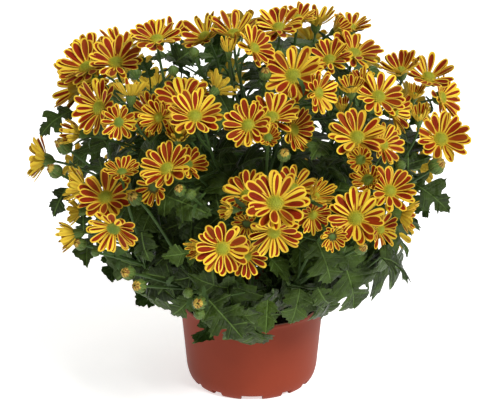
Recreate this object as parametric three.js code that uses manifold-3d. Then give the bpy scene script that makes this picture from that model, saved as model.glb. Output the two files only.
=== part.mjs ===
// Pot chrysanthemum: five rooted cuttings of a striped chrysanthemum, in full bloom, in a plastic pot.
// Millimetres, +Z up. The origin is the middle of the pot's foot, on the surface that it stands on.
// The front of the plant is laid out as a viewer sees it who stands before it, at -Y, and looks down
// on it: where each bloom and leaf shows on the viewer's grid gives its line of sight, and the round
// crown of the plant gives how far along that line it sits. The back follows a rule.

import * as THREE from "three";
import { mergeVertices } from "three/addons/utils/BufferGeometryUtils.js";
import Module from "manifold-3d";

const wasm = await Module();
wasm.setup();

const DEGREE = Math.PI / 180;
const TURN = 2 * Math.PI;
const UP = new THREE.Vector3(0, 0, 1);
const RIGHT = new THREE.Vector3(1, 0, 0);

// ---- Pot and soil ----

const POT_HEIGHT = 76;
const RIM_RADIUS = 65;
const FOOT_RADIUS = 54.5;
const FOOT_WIDTH = 3;
const BELLY_RADIUS = 59.9;
const BELLY_HEIGHT = 14;
const WALL = 1.5;
const BASE_HEIGHT = 5;
const FLOOR_RADIUS = 54.5;
const POT_SIDES = 36;
// The round edge between foot and wall: radius and height of its two corners.
const FOOT_CURVE = [[57, 2.6], [58.6, 7]];
// The lip round the rim: how far it stands out, its underside, its shoulder and its inner edge.
const LIP_OUT = 0.4;
const LIP_BOTTOM = 72.5;
const LIP_SHOULDER = 73.6;
const LIP_ROUND = 0.6;
const LIP_WIDTH = 1.4;
const LIP_INSIDE = 73;
const NOTCH_HEIGHT = 4.5;
const WIDE_NOTCH = 20 * DEGREE;
const NARROW_NOTCH = 10 * DEGREE;
const NARROW_NOTCH_TURN = 33 * DEGREE;
const SOIL_TOP = 66;
const SOIL_DOME = 1.5;
const GAP = 0.3;
const ROOM = 0.35;

// ---- Cuttings ----

const CUTTINGS = 5;
// A direction that no stem, shoot or stalk runs along: their first corner lies towards it.
const FIRST_ACROSS = new THREE.Vector3(0.31, 0.86, 0.4);
const CUTTING_CIRCLE = 30;
const STEM_RADIUS = 3.5;
const STEM_TAPER = 0.7;
const STEM_SIDES = 8;
const STEM_FOOT = 40;
const STEM_BEND = 78;
const FORK_HEIGHT = 112;
const FORK_CIRCLE = 40;
const SHOOT_RADIUS = 1.9;
const SHOOT_END_RADIUS = 1.4;
const SHOOT_TAPER = 0.85;
const SHOOT_SIDES = 4;
const STALK_RADIUS = 1.15;
const STALK_ROOT_RADIUS = 0.75;
const STALK_STRAIGHT = 26;
const STALK_SIDES = 3;
const STALK_SAMPLES = 5;
const LONG_STALK = 60;
const SHOOT_REACH = 0.66;
const SHOOT_ARCH = 12;
// Each shoot has this many places for stalks and petioles, but none below the first.
const FORKS = 16;
const FIRST_FORK = 5;
// Each shoot's aim: turned from its cutting's own direction, and raised from the level, in degrees.
const SHOOT_AIM_SCATTER = [-4, 4];
const SHOOT_AIMS = [[-23, -22], [21, -14], [0, 18], [-19, 44], [18, 50], [-2, 76]];

// ---- Crown: half an egg above its widest level and a flatter half below ----

const CROWN_MIDDLE = new THREE.Vector3(0, 0, 150);
const CROWN_WIDE = 185;
const CROWN_DEEP = 175;
const CROWN_UP = 190;
const CROWN_DOWN = 110;
const RIM_CLEARANCE = 12;

// ---- Viewer: its eye, how far it looks down, and its grid of 500 by 400 cells ----

const EYE = new THREE.Vector3(0, -1050, 538);
const LOOK_DOWN = 19.4 * DEGREE;
const FOCAL = 1262;
const GRID_AXIS = 251.75;
const GRID_MIDDLE = 200;

// ---- Blooms ----

const BLOOM_NODES = 53;
const OPEN_CUP = 22;
const DISC_SHARE = 0.3;
const INNER_PETAL_SHARE = 0.88;
const PETAL_WIDTH_SHARE = 0.33;
const WHORL_STEP = 7 * DEGREE;
const CALYX_DEPTH = 4;
const DISC_RISE = 2.5;
const KEEL_DEPTH = 2;
const LARGE_BLOOM = 24;
const LARGE_BLOOM_PETALS = 10;
const SMALL_BLOOM_PETALS = 8;

// Open blooms of the front, left to right and down: cells across and down, cells wide, the way the
// bloom faces (turned to the viewer's right, lifted), how far its petals are cupped, in degrees, and
// how much deeper than the crown it sits, in millimetres.
const FRONT_BLOOMS = [
  [46, 160, 48, -85, 10, 30, -30],
  [80, 86, 52, -65, 5, 40, 6],
  [84, 188, 40, -95, 15, 40, 10],
  [80, 212, 28, -90, 0, 40, 12],
  [88, 69, 60, -35, 55, 25],
  [91, 56, 52, -20, 62, 24, 16],
  [96, 80, 38, -20, 20, 22, 30],
  [101, 108, 60, -42, 22],
  [106, 199, 62, -10, 52, 20],
  [114, 227, 54, -10, -20],
  [116, 64, 56, 3, 55, 22, -12],
  [119, 122, 38, 0, 15, 22, -4],
  [121, 49, 44, 20, 82, 35, 14],
  [122, 173, 38, 0, 70, 24],
  [131, 97, 36, 165, 75, 42],
  [152, 115, 52, -45, 10, 22, 20],
  [154, 187, 36, -20, 0, 30],
  [157, 41, 52, -5, 65],
  [160, 118, 36, -20, 20, 40, 10],
  [168, 170, 56, -25, 50],
  [172, 36, 44, 30, 75, 30, 14],
  [184, 105, 64, -10, 50, 15, 18],
  [187, 165, 42, 30, 50, 22, 18],
  [195, 118, 58, 5, 50, 22, -8],
  [206, 38, 50, -42, 52, 30],
  [216, 90, 36, 120, 35, 35],
  [223, 248, 56, -5, 15],
  [234, 36, 52, 0, 72, 32],
  [247, 223, 32, -10, -10, 25, 24],
  [249, 126, 52, -20, 35],
  [248, 196, 54, -28, 48, 20, 18],
  [246, 256, 44, 10, 0, 22, 14],
  [253, 49, 46, 45, 35, 22, -3],
  [272, 119, 58, 5, 60, 22, -2],
  [274, 231, 56, 5, -20, 20, 6],
  [275, 205, 68, 5, 48, 24, 2],
  [279, 29, 52, -10, 60],
  [293, 77, 64, 0, 35, 22, 10],
  [293, 190, 52, 20, 50, 22, 24],
  [298, 20, 38, 15, 68, 25],
  [292, 130, 50, 50, 18, 25, 8],
  [314, 197, 28, 40, 35, 55],
  [312, 214, 40, 25, -5, 22, 12],
  [316, 25, 38, 20, 82, 40, 10],
  [317, 93, 46, 45, 15],
  [330, 61, 50, -10, 58],
  [335, 31, 28, 60, 35, 45, 20],
  [332, 236, 28, 10, 0, 35],
  [351, 29, 40, 10, 68, 28],
  [356, 219, 60, -5, 35],
  [354, 55, 57, 20, 60, 22, 8],
  [357, 139, 62, 0, 48],
  [362, 84, 30, -20, 60, 35, 8],
  [378, 98, 56, 20, 45],
  [379, 229, 42, 40, 5, 22, 12],
  [382, 145, 46, 42, 25, 22, 8],
  [389, 192, 54, 15, 45],
  [392, 112, 46, 60, 5, 28, 18],
  [401, 73, 42, -25, 70, 36, -12],
  [401, 214, 36, 70, -10, 40],
  [428, 79, 50, 12, 58, 30],
  [440, 98, 50, 55, 20],
  [440, 140, 58, 10, 38, 22, 14],
];

// Young blooms that are still closing: the same columns. They grow in one piece with their cutting.
const YOUNG_BLOOMS = [
  [77, 234, 30, -78, -8, 50],
  [81, 134, 26, -70, 15, 55],
  [178, 139, 26, 5, 60, 50],
  [201, 247, 22, -60, 0, 50],
  [229, 53, 18, 0, 85, 60],
  [232, 210, 20, -60, 10, 50],
  [268, 139, 26, 0, 45, 35],
  [343, 112, 20, -10, 75, 60, 8],
  [351, 92, 28, -15, 75, 45],
  [361, 160, 26, -10, 20, 55],
  [369, 181, 30, -20, 30, 55],
  [414, 98, 18, 10, 60, 60],
  [419, 121, 20, -10, 70, 60],
];
const YOUNG_PETALS = 6;

// Buds: cells across and down, and cells wide.
const BUDS = [
  [55, 171, 14], [64, 146, 16], [80, 244, 12], [95, 252, 9], [128, 273, 14], [135, 198, 15],
  [139, 286, 14], [173, 70, 10], [180, 190, 12], [188, 293, 10], [191, 194, 10], [194, 52, 10],
  [199, 303, 14], [199, 314, 11], [265, 74, 12], [284, 155, 13], [361, 248, 13], [401, 165, 10],
  [437, 166, 16],
];
const BUD_SIDES = 4;
const BUD_LENGTH_SHARE = 1.15;
const BUD_UPRIGHTNESS = 0.4;
// A bud's rings above the end of its stalk: height and width, as shares of its own.
const BUD_RINGS = [[-0.15, 1], [0.9, 0.45]];

// Blooms of the back: rings of them, from the widest level up to the top.
// Height, how many in the ring, and where the ring starts and ends, in degrees from +X round by +Y.
const BACK_RINGS = [
  [112, 5, 30, 150],
  [168, 7, 24, 156],
  [222, 6, 22, 158],
  [264, 4, 30, 150],
  [284, 3, 50, 130],
];
const BACK_BLOOM_RADIUS = [21, 26];
const BACK_BLOOM_LIFT = 12 * DEGREE;
const BACK_SCATTER = 0.35;
const BACK_DEEP = 184;
const BACK_HEIGHT_SCATTER = [-12, 12];
const BACK_TILT = [-0.25, 0.25];
const BACK_CUP = [6, 20];

// Petals are kept apart by sliding crossing blooms along their lines of sight.
const SPREAD_ROUNDS = 60;
const SPREAD_LIMIT = 26;
// Only blooms nearer than this share of their radii's sum are tested for crossing.
const NEAR_SHARE = 1.3;
const BLOOM_FLATNESS = 0.4;

// ---- Leaves ----

const LEAF_SHEET = 0.9;
const LEAF_FOLD = 0.28;
const LEAF_ARCH = 0.1;
const LEAF_UPRIGHTNESS = 0.5;
const PETIOLE_WIDTH = 1.2;
// How deep in the crown a leaf that the viewer sees may sit, its base and its tip, best first.
const LEAF_DEPTHS = [[0.84, 0.96], [0.8, 0.9], [0.76, 0.84], [0.72, 0.78], [0.66, 0.72]];
// Where a leaf's clearance is measured: along the midrib and out from it, as shares of its length.
const LEAF_SAMPLES = [
  [0.1, 0], [0.4, 0], [0.7, 0], [1, 0], [0.25, -0.3], [0.25, 0.3], [0.55, -0.3], [0.55, 0.3],
];
const STALK_CLEARANCE = 5;
const LEAF_CLEARANCE = 9;
const LEAF_TRIES = 8;
const PLAIN_LEAF = 40;

// Half outlines, from the petiole to the tip: along the midrib and out from it, as shares of length.
const LOBED_OUTLINE = [[0, 0.03], [0.2, 0.34], [0.37, 0.15], [0.53, 0.41], [0.67, 0.14], [0.81, 0.22]];
const LOBED_MIDRIB = [0.37, 0.67];
const PLAIN_OUTLINE = [[0, 0.03], [0.3, 0.33], [0.47, 0.15], [0.68, 0.3]];
const PLAIN_MIDRIB = [0.47];

// Leaves that the viewer sees: cells across and down of the base and of the tip, and how far the
// blade is rolled about its midrib from facing outwards and upwards, in degrees.
const FRONT_LEAVES = [
  [72, 111, 39, 136, -40],
  [116, 142, 72, 165, -30],
  [104, 158, 78, 182, -20],
  [67, 188, 53, 217, -60],
  [113, 252, 112, 283, 65],
  [90, 240, 86, 264, -50],
  [178, 282, 148, 302, -30],
  [193, 296, 171, 317, -15],
  [213, 312, 194, 346, -10],
  [226, 273, 252, 346, 12],
  [209, 300, 243, 338, -20],
  [252, 315, 262, 344, 0],
  [268, 300, 266, 334, 10],
  [300, 288, 291, 326, 10],
  [306, 290, 331, 317, 10],
  [338, 250, 356, 311, 10],
  [350, 250, 404, 270, 20],
  [392, 235, 408, 257, 15],
  [408, 181, 450, 213, 50],
  [198, 250, 162, 257, -30],
  [207, 272, 172, 281, -20],
  [198, 200, 178, 228, -10],
  [213, 57, 181, 66, -20],
  [225, 66, 203, 72, 30],
  [352, 65, 384, 80, 20],
  [345, 160, 327, 165, 40],
  [322, 142, 312, 158, 0],
];

// Leaves of the shoots: one on each, but for every so many.
const BARE_SHOOT = 4;
const SHOOT_LEAF_LENGTH = [46, 62];
const SHOOT_LEAF_PLACE = [0.45, 0.9];
const SHOOT_LEAF_TURN = [45 * DEGREE, 79 * DEGREE];
const SHOOT_LEAF_DROOP = [-0.05, 0.55];
const SHOOT_LEAF_ROLL = [-25, 25];
const PETIOLE_LENGTH = 8;

// Leaves that hang round the sides and the back of the pot's rim.
const SKIRT_LEAVES = 11;
const SKIRT_START = -8 * DEGREE;
const SKIRT_END = 188 * DEGREE;
const SKIRT_SCATTER = 0.45;
const SKIRT_BASE_RADIUS = [76, 92];
const SKIRT_BASE_HEIGHT = [92, 112];
const SKIRT_TIP_RADIUS = [106, 124];
const SKIRT_TIP_HEIGHT = [70, 98];
const SKIRT_TIP_TURN = [-0.25, 0.25];
const SKIRT_ROLL = [-15, 15];

const COLOURS = {
  pot: { color: 0x9b4d37, roughness: 0.55 },
  soil: { color: 0x2c211a, roughness: 1 },
  green: { color: 0x3d5c27, roughness: 0.6 },
  bloom: { color: 0xd8912a, roughness: 0.65 },
};

// ---- Chance: the same row of numbers every time ----

let chance = 20771;

function random(low, high) {
  chance = (chance * 16807) % 2147483647;
  return low + (high - low) * (chance / 2147483647);
}

// ---- Places ----

function polar(radius, turn, height) {
  return new THREE.Vector3(radius * Math.cos(turn), radius * Math.sin(turn), height);
}

function sightLine(across, down) {
  const ahead = new THREE.Vector3(0, Math.cos(LOOK_DOWN), -Math.sin(LOOK_DOWN));
  const above = new THREE.Vector3(0, Math.sin(LOOK_DOWN), Math.cos(LOOK_DOWN));
  ahead.addScaledVector(above, (GRID_MIDDLE - down) / FOCAL);
  ahead.addScaledVector(RIGHT, (across - GRID_AXIS) / FOCAL);
  return ahead.normalize();
}

// How far along a line of sight the near side of one half of the crown lies, or where the line
// comes closest to it if it passes outside.
function distanceToEgg(line, share, height) {
  const axes = new THREE.Vector3(CROWN_WIDE, CROWN_DEEP, height).multiplyScalar(share);
  const start = EYE.clone().sub(CROWN_MIDDLE).divide(axes);
  const step = line.clone().divide(axes);
  const square = step.dot(step);
  const slope = start.dot(step);
  const reach = slope * slope - square * (start.dot(start) - 1);
  return (-slope - Math.sqrt(Math.max(0, reach))) / square;
}

function crownPoint(across, down, share) {
  const line = sightLine(across, down);
  const point = EYE.clone().addScaledVector(line, distanceToEgg(line, share, CROWN_UP));
  if (point.z < CROWN_MIDDLE.z) {
    point.copy(EYE).addScaledVector(line, distanceToEgg(line, share, CROWN_DOWN));
  }
  return keepOffPot(point, line);
}

// Slides a low point towards the viewer until it clears the rim.
function keepOffPot(point, line) {
  const clear = RIM_RADIUS + RIM_CLEARANCE;
  const low = POT_HEIGHT + RIM_CLEARANCE;
  while (point.z < low && Math.hypot(point.x, point.y) < clear) {
    point.addScaledVector(line, -1);
  }
  return point;
}

// The way out of the crown at a point on it.
function outward(point) {
  const height = point.z < CROWN_MIDDLE.z ? CROWN_DOWN : CROWN_UP;
  const from = point.clone().sub(CROWN_MIDDLE);
  const squares = new THREE.Vector3(CROWN_WIDE ** 2, CROWN_DEEP ** 2, height ** 2);
  return from.divide(squares).normalize();
}

function facing(turn, lift) {
  const level = Math.cos(lift * DEGREE);
  return new THREE.Vector3(
    level * Math.sin(turn * DEGREE),
    -level * Math.cos(turn * DEGREE),
    Math.sin(lift * DEGREE),
  );
}

function seenBloom([across, down, wide, turn, lift, cup = OPEN_CUP, deeper = 0]) {
  const line = sightLine(across, down);
  const middle = crownPoint(across, down, 1).addScaledVector(line, deeper);
  const radius = wide / 2 * middle.distanceTo(EYE) / FOCAL;
  const spin = random(0, 1);
  return { middle, line, axis: facing(turn, lift), radius, cup: cup * DEGREE, spin, slid: 0 };
}

function backBlooms() {
  const blooms = [];
  for (const [height, count, start, end] of BACK_RINGS) {
    const half = height < CROWN_MIDDLE.z ? CROWN_DOWN : CROWN_UP;
    const level = Math.sqrt(1 - ((height - CROWN_MIDDLE.z) / half) ** 2);
    for (let index = 0; index < count; index += 1) {
      const place = (index + 0.5 + random(-BACK_SCATTER, BACK_SCATTER)) / count;
      const turn = (start + (end - start) * place) * DEGREE;
      const middle = new THREE.Vector3(
        CROWN_WIDE * level * Math.cos(turn),
        BACK_DEEP * level * Math.sin(turn),
        height + random(...BACK_HEIGHT_SCATTER),
      );
      const axis = outward(middle);
      axis.z += Math.sin(BACK_BLOOM_LIFT) + random(...BACK_TILT);
      axis.x += random(...BACK_TILT);
      axis.normalize();
      const line = outward(middle).negate();
      const radius = random(...BACK_BLOOM_RADIUS);
      const cup = random(...BACK_CUP) * DEGREE;
      const spin = random(0, 1);
      blooms.push({ middle, line, axis, radius, cup, spin, slid: 0 });
    }
  }
  return blooms;
}

// How far a bloom, taken as a flattened ball, reaches in one direction.
function reachOf(bloom, direction) {
  const along = direction.dot(bloom.axis);
  const level = Math.sqrt(Math.max(0, 1 - along * along));
  return bloom.radius * Math.hypot(level, along * BLOOM_FLATNESS);
}

// Slides blooms that cross along their lines of sight, the nearer one nearer and the other deeper.
function spreadBlooms(blooms) {
  for (let round = 0; round < SPREAD_ROUNDS; round += 1) {
    for (let first = 0; first < blooms.length; first += 1) {
      for (let second = first + 1; second < blooms.length; second += 1) {
        slideApart(blooms[first], blooms[second]);
      }
    }
  }
}

function slideApart(one, other) {
  const between = other.middle.clone().sub(one.middle);
  const distance = between.length();
  if (distance > one.radius + other.radius) {
    return;
  }
  between.normalize();
  const overlap = reachOf(one, between) + reachOf(other, between) - distance;
  if (overlap <= 0) {
    return;
  }
  const deeper = between.dot(one.line) > 0 ? 1 : -1;
  slide(one, -deeper * overlap / 4);
  slide(other, deeper * overlap / 4);
}

function slide(bloom, step) {
  const slid = Math.min(SPREAD_LIMIT, Math.max(-SPREAD_LIMIT / 2, bloom.slid + step));
  bloom.middle.addScaledVector(bloom.line, slid - bloom.slid);
  bloom.slid = slid;
}

// ---- Closed meshes as solids ----

function solid(points, faces) {
  const vertProperties = new Float32Array(points.flatMap((point) => point.toArray()));
  const triVerts = new Uint32Array(faces.flat());
  return new wasm.Manifold(new wasm.Mesh({ numProp: 3, vertProperties, triVerts }));
}

function solidOf(geometry) {
  geometry.deleteAttribute("normal");
  geometry.deleteAttribute("uv");
  const merged = mergeVertices(geometry, 1e-4);
  const vertProperties = new Float32Array(merged.attributes.position.array);
  const triVerts = new Uint32Array(merged.index.array);
  return new wasm.Manifold(new wasm.Mesh({ numProp: 3, vertProperties, triVerts }));
}

function geometryOf(shape) {
  const mesh = shape.getMesh();
  const geometry = new THREE.BufferGeometry();
  geometry.setAttribute("position", new THREE.BufferAttribute(mesh.vertProperties, 3));
  geometry.setIndex(new THREE.BufferAttribute(mesh.triVerts, 1));
  geometry.computeVertexNormals();
  return geometry;
}

// The largest body alone: loose scraps go, and so do the walls of sealed hollows.
function largestBody(shape) {
  return shape.decompose().sort((one, other) => other.volume() - one.volume())[0];
}

function boxesMeet(one, other) {
  const a = one.boundingBox();
  const b = other.boundingBox();
  return [0, 1, 2].every((axis) => a.min[axis] <= b.max[axis] && b.min[axis] <= a.max[axis]);
}

function join(shapes) {
  return shapes.reduce((whole, shape) => whole.add(shape));
}

function cutBy(shape, cutters) {
  return cutters
    .filter((cutter) => boxesMeet(shape, cutter))
    .reduce((rest, cutter) => rest.subtract(cutter), shape);
}

// ---- Pot ----

function wallRadius(height) {
  const share = (height - BELLY_HEIGHT) / (POT_HEIGHT - BELLY_HEIGHT);
  return BELLY_RADIUS + (RIM_RADIUS - BELLY_RADIUS) * share;
}

function turned(profile, sides) {
  const points = profile.map(([radius, height]) => new THREE.Vector2(radius, height));
  return solidOf(new THREE.LatheGeometry(points, sides).rotateX(Math.PI / 2));
}

function notch(turn, width) {
  const box = new THREE.BoxGeometry(FOOT_WIDTH * 6, FOOT_RADIUS * width, NOTCH_HEIGHT * 2);
  box.translate(FOOT_RADIUS + FOOT_WIDTH, 0, 0);
  box.rotateZ(turn);
  return solidOf(box);
}

function makePot() {
  const floor = BASE_HEIGHT + WALL;
  const inside = (height) => wallRadius(height) - WALL;
  const lip = RIM_RADIUS + LIP_OUT;
  const wall = turned([
    [0, BASE_HEIGHT],
    [FOOT_RADIUS - FOOT_WIDTH - 1, BASE_HEIGHT],
    [FOOT_RADIUS - FOOT_WIDTH, 0],
    [FOOT_RADIUS, 0],
    ...FOOT_CURVE,
    [BELLY_RADIUS, BELLY_HEIGHT],
    [wallRadius(LIP_BOTTOM), LIP_BOTTOM],
    [lip, LIP_SHOULDER],
    [lip, POT_HEIGHT - LIP_ROUND],
    [lip - LIP_ROUND, POT_HEIGHT],
    [lip - LIP_ROUND - LIP_WIDTH, POT_HEIGHT],
    [inside(LIP_INSIDE), LIP_INSIDE],
    [inside(BELLY_HEIGHT), BELLY_HEIGHT],
    [FLOOR_RADIUS, floor],
    [0, floor],
  ], POT_SIDES);
  const notches = [];
  for (let quarter = 0; quarter < 4; quarter += 1) {
    const turn = quarter * TURN / 4;
    notches.push(notch(turn, WIDE_NOTCH));
    notches.push(notch(turn + NARROW_NOTCH_TURN, NARROW_NOTCH));
    notches.push(notch(turn - NARROW_NOTCH_TURN, NARROW_NOTCH));
  }
  return wall.subtract(join(notches));
}

function cuttingTurn(number) {
  return -TURN / 4 + number * TURN / CUTTINGS;
}

function makeSoil() {
  const floor = BASE_HEIGHT + WALL + GAP;
  const radius = (height) => wallRadius(height) - WALL - GAP;
  const fill = turned([
    [0, floor],
    [FLOOR_RADIUS - GAP, floor],
    [radius(BELLY_HEIGHT), BELLY_HEIGHT + GAP],
    [radius(SOIL_TOP), SOIL_TOP],
    [0, SOIL_TOP + SOIL_DOME],
  ], POT_SIDES);
  const depth = SOIL_TOP + 2 * SOIL_DOME - STEM_FOOT + GAP;
  const reach = (STEM_RADIUS + GAP) / Math.cos(Math.PI / STEM_SIDES);
  const holes = [];
  for (let number = 0; number < CUTTINGS; number += 1) {
    const hole = new THREE.CylinderGeometry(reach, reach, depth, STEM_SIDES);
    const place = polar(CUTTING_CIRCLE, cuttingTurn(number), STEM_FOOT - GAP + depth / 2);
    hole.rotateX(Math.PI / 2);
    holes.push(solidOf(hole.translate(place.x, place.y, place.z)));
  }
  return fill.subtract(join(holes));
}

// ---- Stems, shoots and stalks ----

// Rings of corners round the points of a line, square to it and without twist.
function ringsAlong(points, radii, sides) {
  const rings = [];
  const across = FIRST_ACROSS.clone();
  points.forEach((point, index) => {
    const before = points[Math.max(0, index - 1)];
    const after = points[Math.min(points.length - 1, index + 1)];
    const ahead = after.clone().sub(before).normalize();
    across.addScaledVector(ahead, -across.dot(ahead)).normalize();
    const aside = new THREE.Vector3().crossVectors(ahead, across);
    const ring = [];
    for (let side = 0; side < sides; side += 1) {
      const turn = side / sides * TURN;
      const corner = point.clone().addScaledVector(across, radii[index] * Math.cos(turn));
      ring.push(corner.addScaledVector(aside, radii[index] * Math.sin(turn)));
    }
    rings.push(ring);
  });
  return rings;
}

// The sides between each ring of corners and the next, numbered from `first` on.
function ringFaces(first, rings, sides) {
  const faces = [];
  for (let ring = 0; ring < rings - 1; ring += 1) {
    for (let side = 0; side < sides; side += 1) {
      const low = first + ring * sides;
      const high = low + sides;
      const next = (side + 1) % sides;
      faces.push([low + side, low + next, high + next], [low + side, high + next, high + side]);
    }
  }
  return faces;
}

// A closed tube through a line of points.
function tube(points, radii, sides) {
  const corners = ringsAlong(points, radii, sides).flat();
  const faces = ringFaces(0, points.length, sides);
  const last = corners.length - sides;
  for (let side = 1; side < sides - 1; side += 1) {
    faces.push([0, side + 1, side], [last, last + side, last + side + 1]);
  }
  return solid(corners, faces);
}

function stalkLine(curve) {
  const long = curve.v0.distanceTo(curve.v2) > LONG_STALK;
  return curve.getPoints(long ? 2 : 1);
}

// A stalk's radii: thinner where it leaves its shoot.
function stalkRadii(points, room) {
  return points.map((_, index) => (index === 0 ? STALK_ROOT_RADIUS : STALK_RADIUS) + room);
}

// ---- Blooms ----

// One closed star: petals round a raised disc, every second one shorter and higher. Each petal has
// a flat upper side between a notch and two tip corners, and a keel below that runs to the calyx.
// A bloom that grows in one piece with its cutting has its stalk as a tube below the calyx.
function bloomSolid(bloom, room) {
  const { middle, axis, radius, cup, petals, stalk, spin } = bloom;
  const side = new THREE.Vector3().crossVectors(UP, axis);
  if (side.lengthSq() < 0.01) {
    side.copy(RIGHT);
  }
  side.normalize();
  const over = new THREE.Vector3().crossVectors(axis, side);
  const at = (reach, turn, height) => middle.clone()
    .addScaledVector(side, reach * Math.cos(turn))
    .addScaledVector(over, reach * Math.sin(turn))
    .addScaledVector(axis, height);
  const share = TURN / petals;
  const wide = share * PETAL_WIDTH_SHARE + room / radius;
  const disc = radius * DISC_SHARE + room;
  const points = [
    at(0, 0, disc * Math.tan(cup) + DISC_RISE + room),
    at(0, 0, -CALYX_DEPTH - room),
  ];
  for (let petal = 0; petal < petals; petal += 1) {
    const inner = petal % 2;
    const reach = radius * (inner ? INNER_PETAL_SHARE : 1) + room;
    const rise = reach * Math.tan(cup + (inner - 0.5) * WHORL_STEP);
    const turn = (petal + 0.5 + spin) * share;
    points.push(
      at(disc, turn - share / 2, disc * Math.tan(cup)),
      at(reach, turn - wide, rise + room),
      at(reach, turn + wide, rise + room),
      at(reach - KEEL_DEPTH / 2, turn, rise - KEEL_DEPTH - room),
    );
  }
  if (!stalk) {
    return solid(points, petalFaces(petals, () => 1));
  }
  const line = stalkLine(stalk);
  const corners = ringsAlong(line, stalkRadii(line, room), STALK_SIDES).flat();
  const root = points.length;
  const collar = root + corners.length - STALK_SIDES;
  const corner = corners[corners.length - STALK_SIDES].clone().sub(middle);
  const start = Math.atan2(corner.dot(over), corner.dot(side)) / TURN - spin / petals;
  const nearest = (petal) => {
    const place = (petal + 0.5) / petals - start + 0.5 / STALK_SIDES + 2;
    return collar + Math.floor(place * STALK_SIDES) % STALK_SIDES;
  };
  const faces = [...petalFaces(petals, nearest), ...ringFaces(root, line.length, STALK_SIDES)];
  faces.push([root, root + 2, root + 1]);
  return solid([...points, ...corners], faces);
}

// The faces of a bloom. `under` gives the point that a petal's keel runs to: the calyx, or a corner
// of the stalk's end.
function petalFaces(petals, under) {
  const faces = [];
  for (let petal = 0; petal < petals; petal += 1) {
    const next = (petal + 1) % petals;
    const [start, low, high, keel] = [2, 3, 4, 5].map((point) => point + petal * 4);
    const end = 2 + next * 4;
    const foot = under(petal);
    faces.push([0, start, end], [start, low, high], [start, high, end]);
    faces.push([low, start, keel], [high, low, keel], [end, high, keel]);
    faces.push([keel, start, foot], [end, keel, foot]);
    if (under(next) !== foot) {
      faces.push([end, foot, under(next)]);
    }
  }
  return faces;
}

// Closes a sheet: the same faces above and, turned over, below, and walls along every free edge.
function sheetBetween(top, bottom, faces) {
  const shift = top.length;
  const closed = faces.map(([a, b, c]) => [c + shift, b + shift, a + shift]);
  const edges = new Set(faces.flatMap(([a, b, c]) => [`${a} ${b}`, `${b} ${c}`, `${c} ${a}`]));
  for (const [a, b, c] of faces) {
    closed.push([a, b, c]);
    for (const [from, to] of [[a, b], [b, c], [c, a]]) {
      if (!edges.has(`${to} ${from}`)) {
        closed.push([to, from, from + shift], [to, from + shift, to + shift]);
      }
    }
  }
  return solid([...top, ...bottom], closed);
}

// ---- Leaves ----

// A point of a blade: along its midrib and out from it, folded along the midrib and arched.
function bladePoint({ base, tip, normal }, share, out, room) {
  const along = tip.clone().sub(base);
  const length = along.length();
  const across = new THREE.Vector3().crossVectors(along, normal).normalize();
  const rise = LEAF_ARCH * 4 * share * (1 - share) + LEAF_FOLD * Math.abs(out);
  return base.clone()
    .addScaledVector(along, share)
    .addScaledVector(across, out * length + Math.sign(out) * room)
    .addScaledVector(normal, rise * length);
}

// A lobed blade on its petiole, one closed sheet. `room` makes it fatter all round.
function leafSheet(leaf, room) {
  const outline = leaf.plain ? PLAIN_OUTLINE : LOBED_OUTLINE;
  const midrib = leaf.plain ? PLAIN_MIDRIB : LOBED_MIDRIB;
  const lobes = outline.length;
  const end = 1 + room / leaf.base.distanceTo(leaf.tip);
  const across = new THREE.Vector3().crossVectors(leaf.tip.clone().sub(leaf.base), leaf.normal);
  across.normalize();
  const half = LEAF_SHEET / 2 + room;
  const rootSide = PETIOLE_WIDTH / 2 + room;
  const points = [
    ...outline.map(([share, out]) => bladePoint(leaf, share, -out, room)),
    ...outline.map(([share, out]) => bladePoint(leaf, share, out, room)),
    bladePoint(leaf, end, 0, 0),
    ...midrib.map((share) => bladePoint(leaf, share, 0, 0)).reverse(),
    leaf.root.point.clone().addScaledVector(across, -rootSide),
    leaf.root.point.clone().addScaledVector(across, rootSide),
  ];
  const left = outline.map((_, index) => index);
  const right = left.map((index) => index + lobes);
  const spine = [0, ...midrib].map((_, index) => 2 * lobes + index);
  const rootLeft = points.length - 2;
  const rootRight = points.length - 1;
  const faces = [
    ...stripFaces(left, spine, true),
    ...stripFaces(right, spine, false),
    [left[0], right[0], spine[spine.length - 1]],
    [rootLeft, rootRight, right[0]],
    [rootLeft, right[0], left[0]],
  ];
  const rootWay = leaf.base.clone().sub(leaf.root.point);
  const rootNormal = new THREE.Vector3().crossVectors(across, rootWay).normalize();
  const thick = (index) => (index >= rootLeft ? rootNormal : leaf.normal);
  const top = points.map((point, index) => point.clone().addScaledVector(thick(index), half));
  const bottom = points.map((point, index) => point.clone().addScaledVector(thick(index), -half));
  return sheetBetween(top, bottom, faces);
}

// Faces between one side's outline and the midrib, which runs from the tip to the base. Each notch
// of the outline, every second point of it, meets the next point of the midrib.
function stripFaces(outline, spine, leftSide) {
  const faces = [];
  let rib = spine.length - 1;
  for (let index = 0; index < outline.length - 1; index += 1) {
    faces.push([outline[index], spine[rib], outline[index + 1]]);
    if (index % 2 === 1) {
      faces.push([outline[index + 1], spine[rib], spine[rib - 1]]);
      rib -= 1;
    }
  }
  return leftSide ? faces : faces.map(([a, b, c]) => [a, c, b]);
}

// A blade's place: which way its upper face looks, square to its midrib.
function blade(base, tip, roll, plain) {
  const along = tip.clone().sub(base).normalize();
  const normal = outward(base.clone().lerp(tip, 0.5)).addScaledVector(UP, LEAF_UPRIGHTNESS);
  normal.addScaledVector(along, -normal.dot(along)).normalize();
  normal.applyAxisAngle(along, roll * DEGREE);
  return { base, tip, normal, plain };
}

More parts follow.
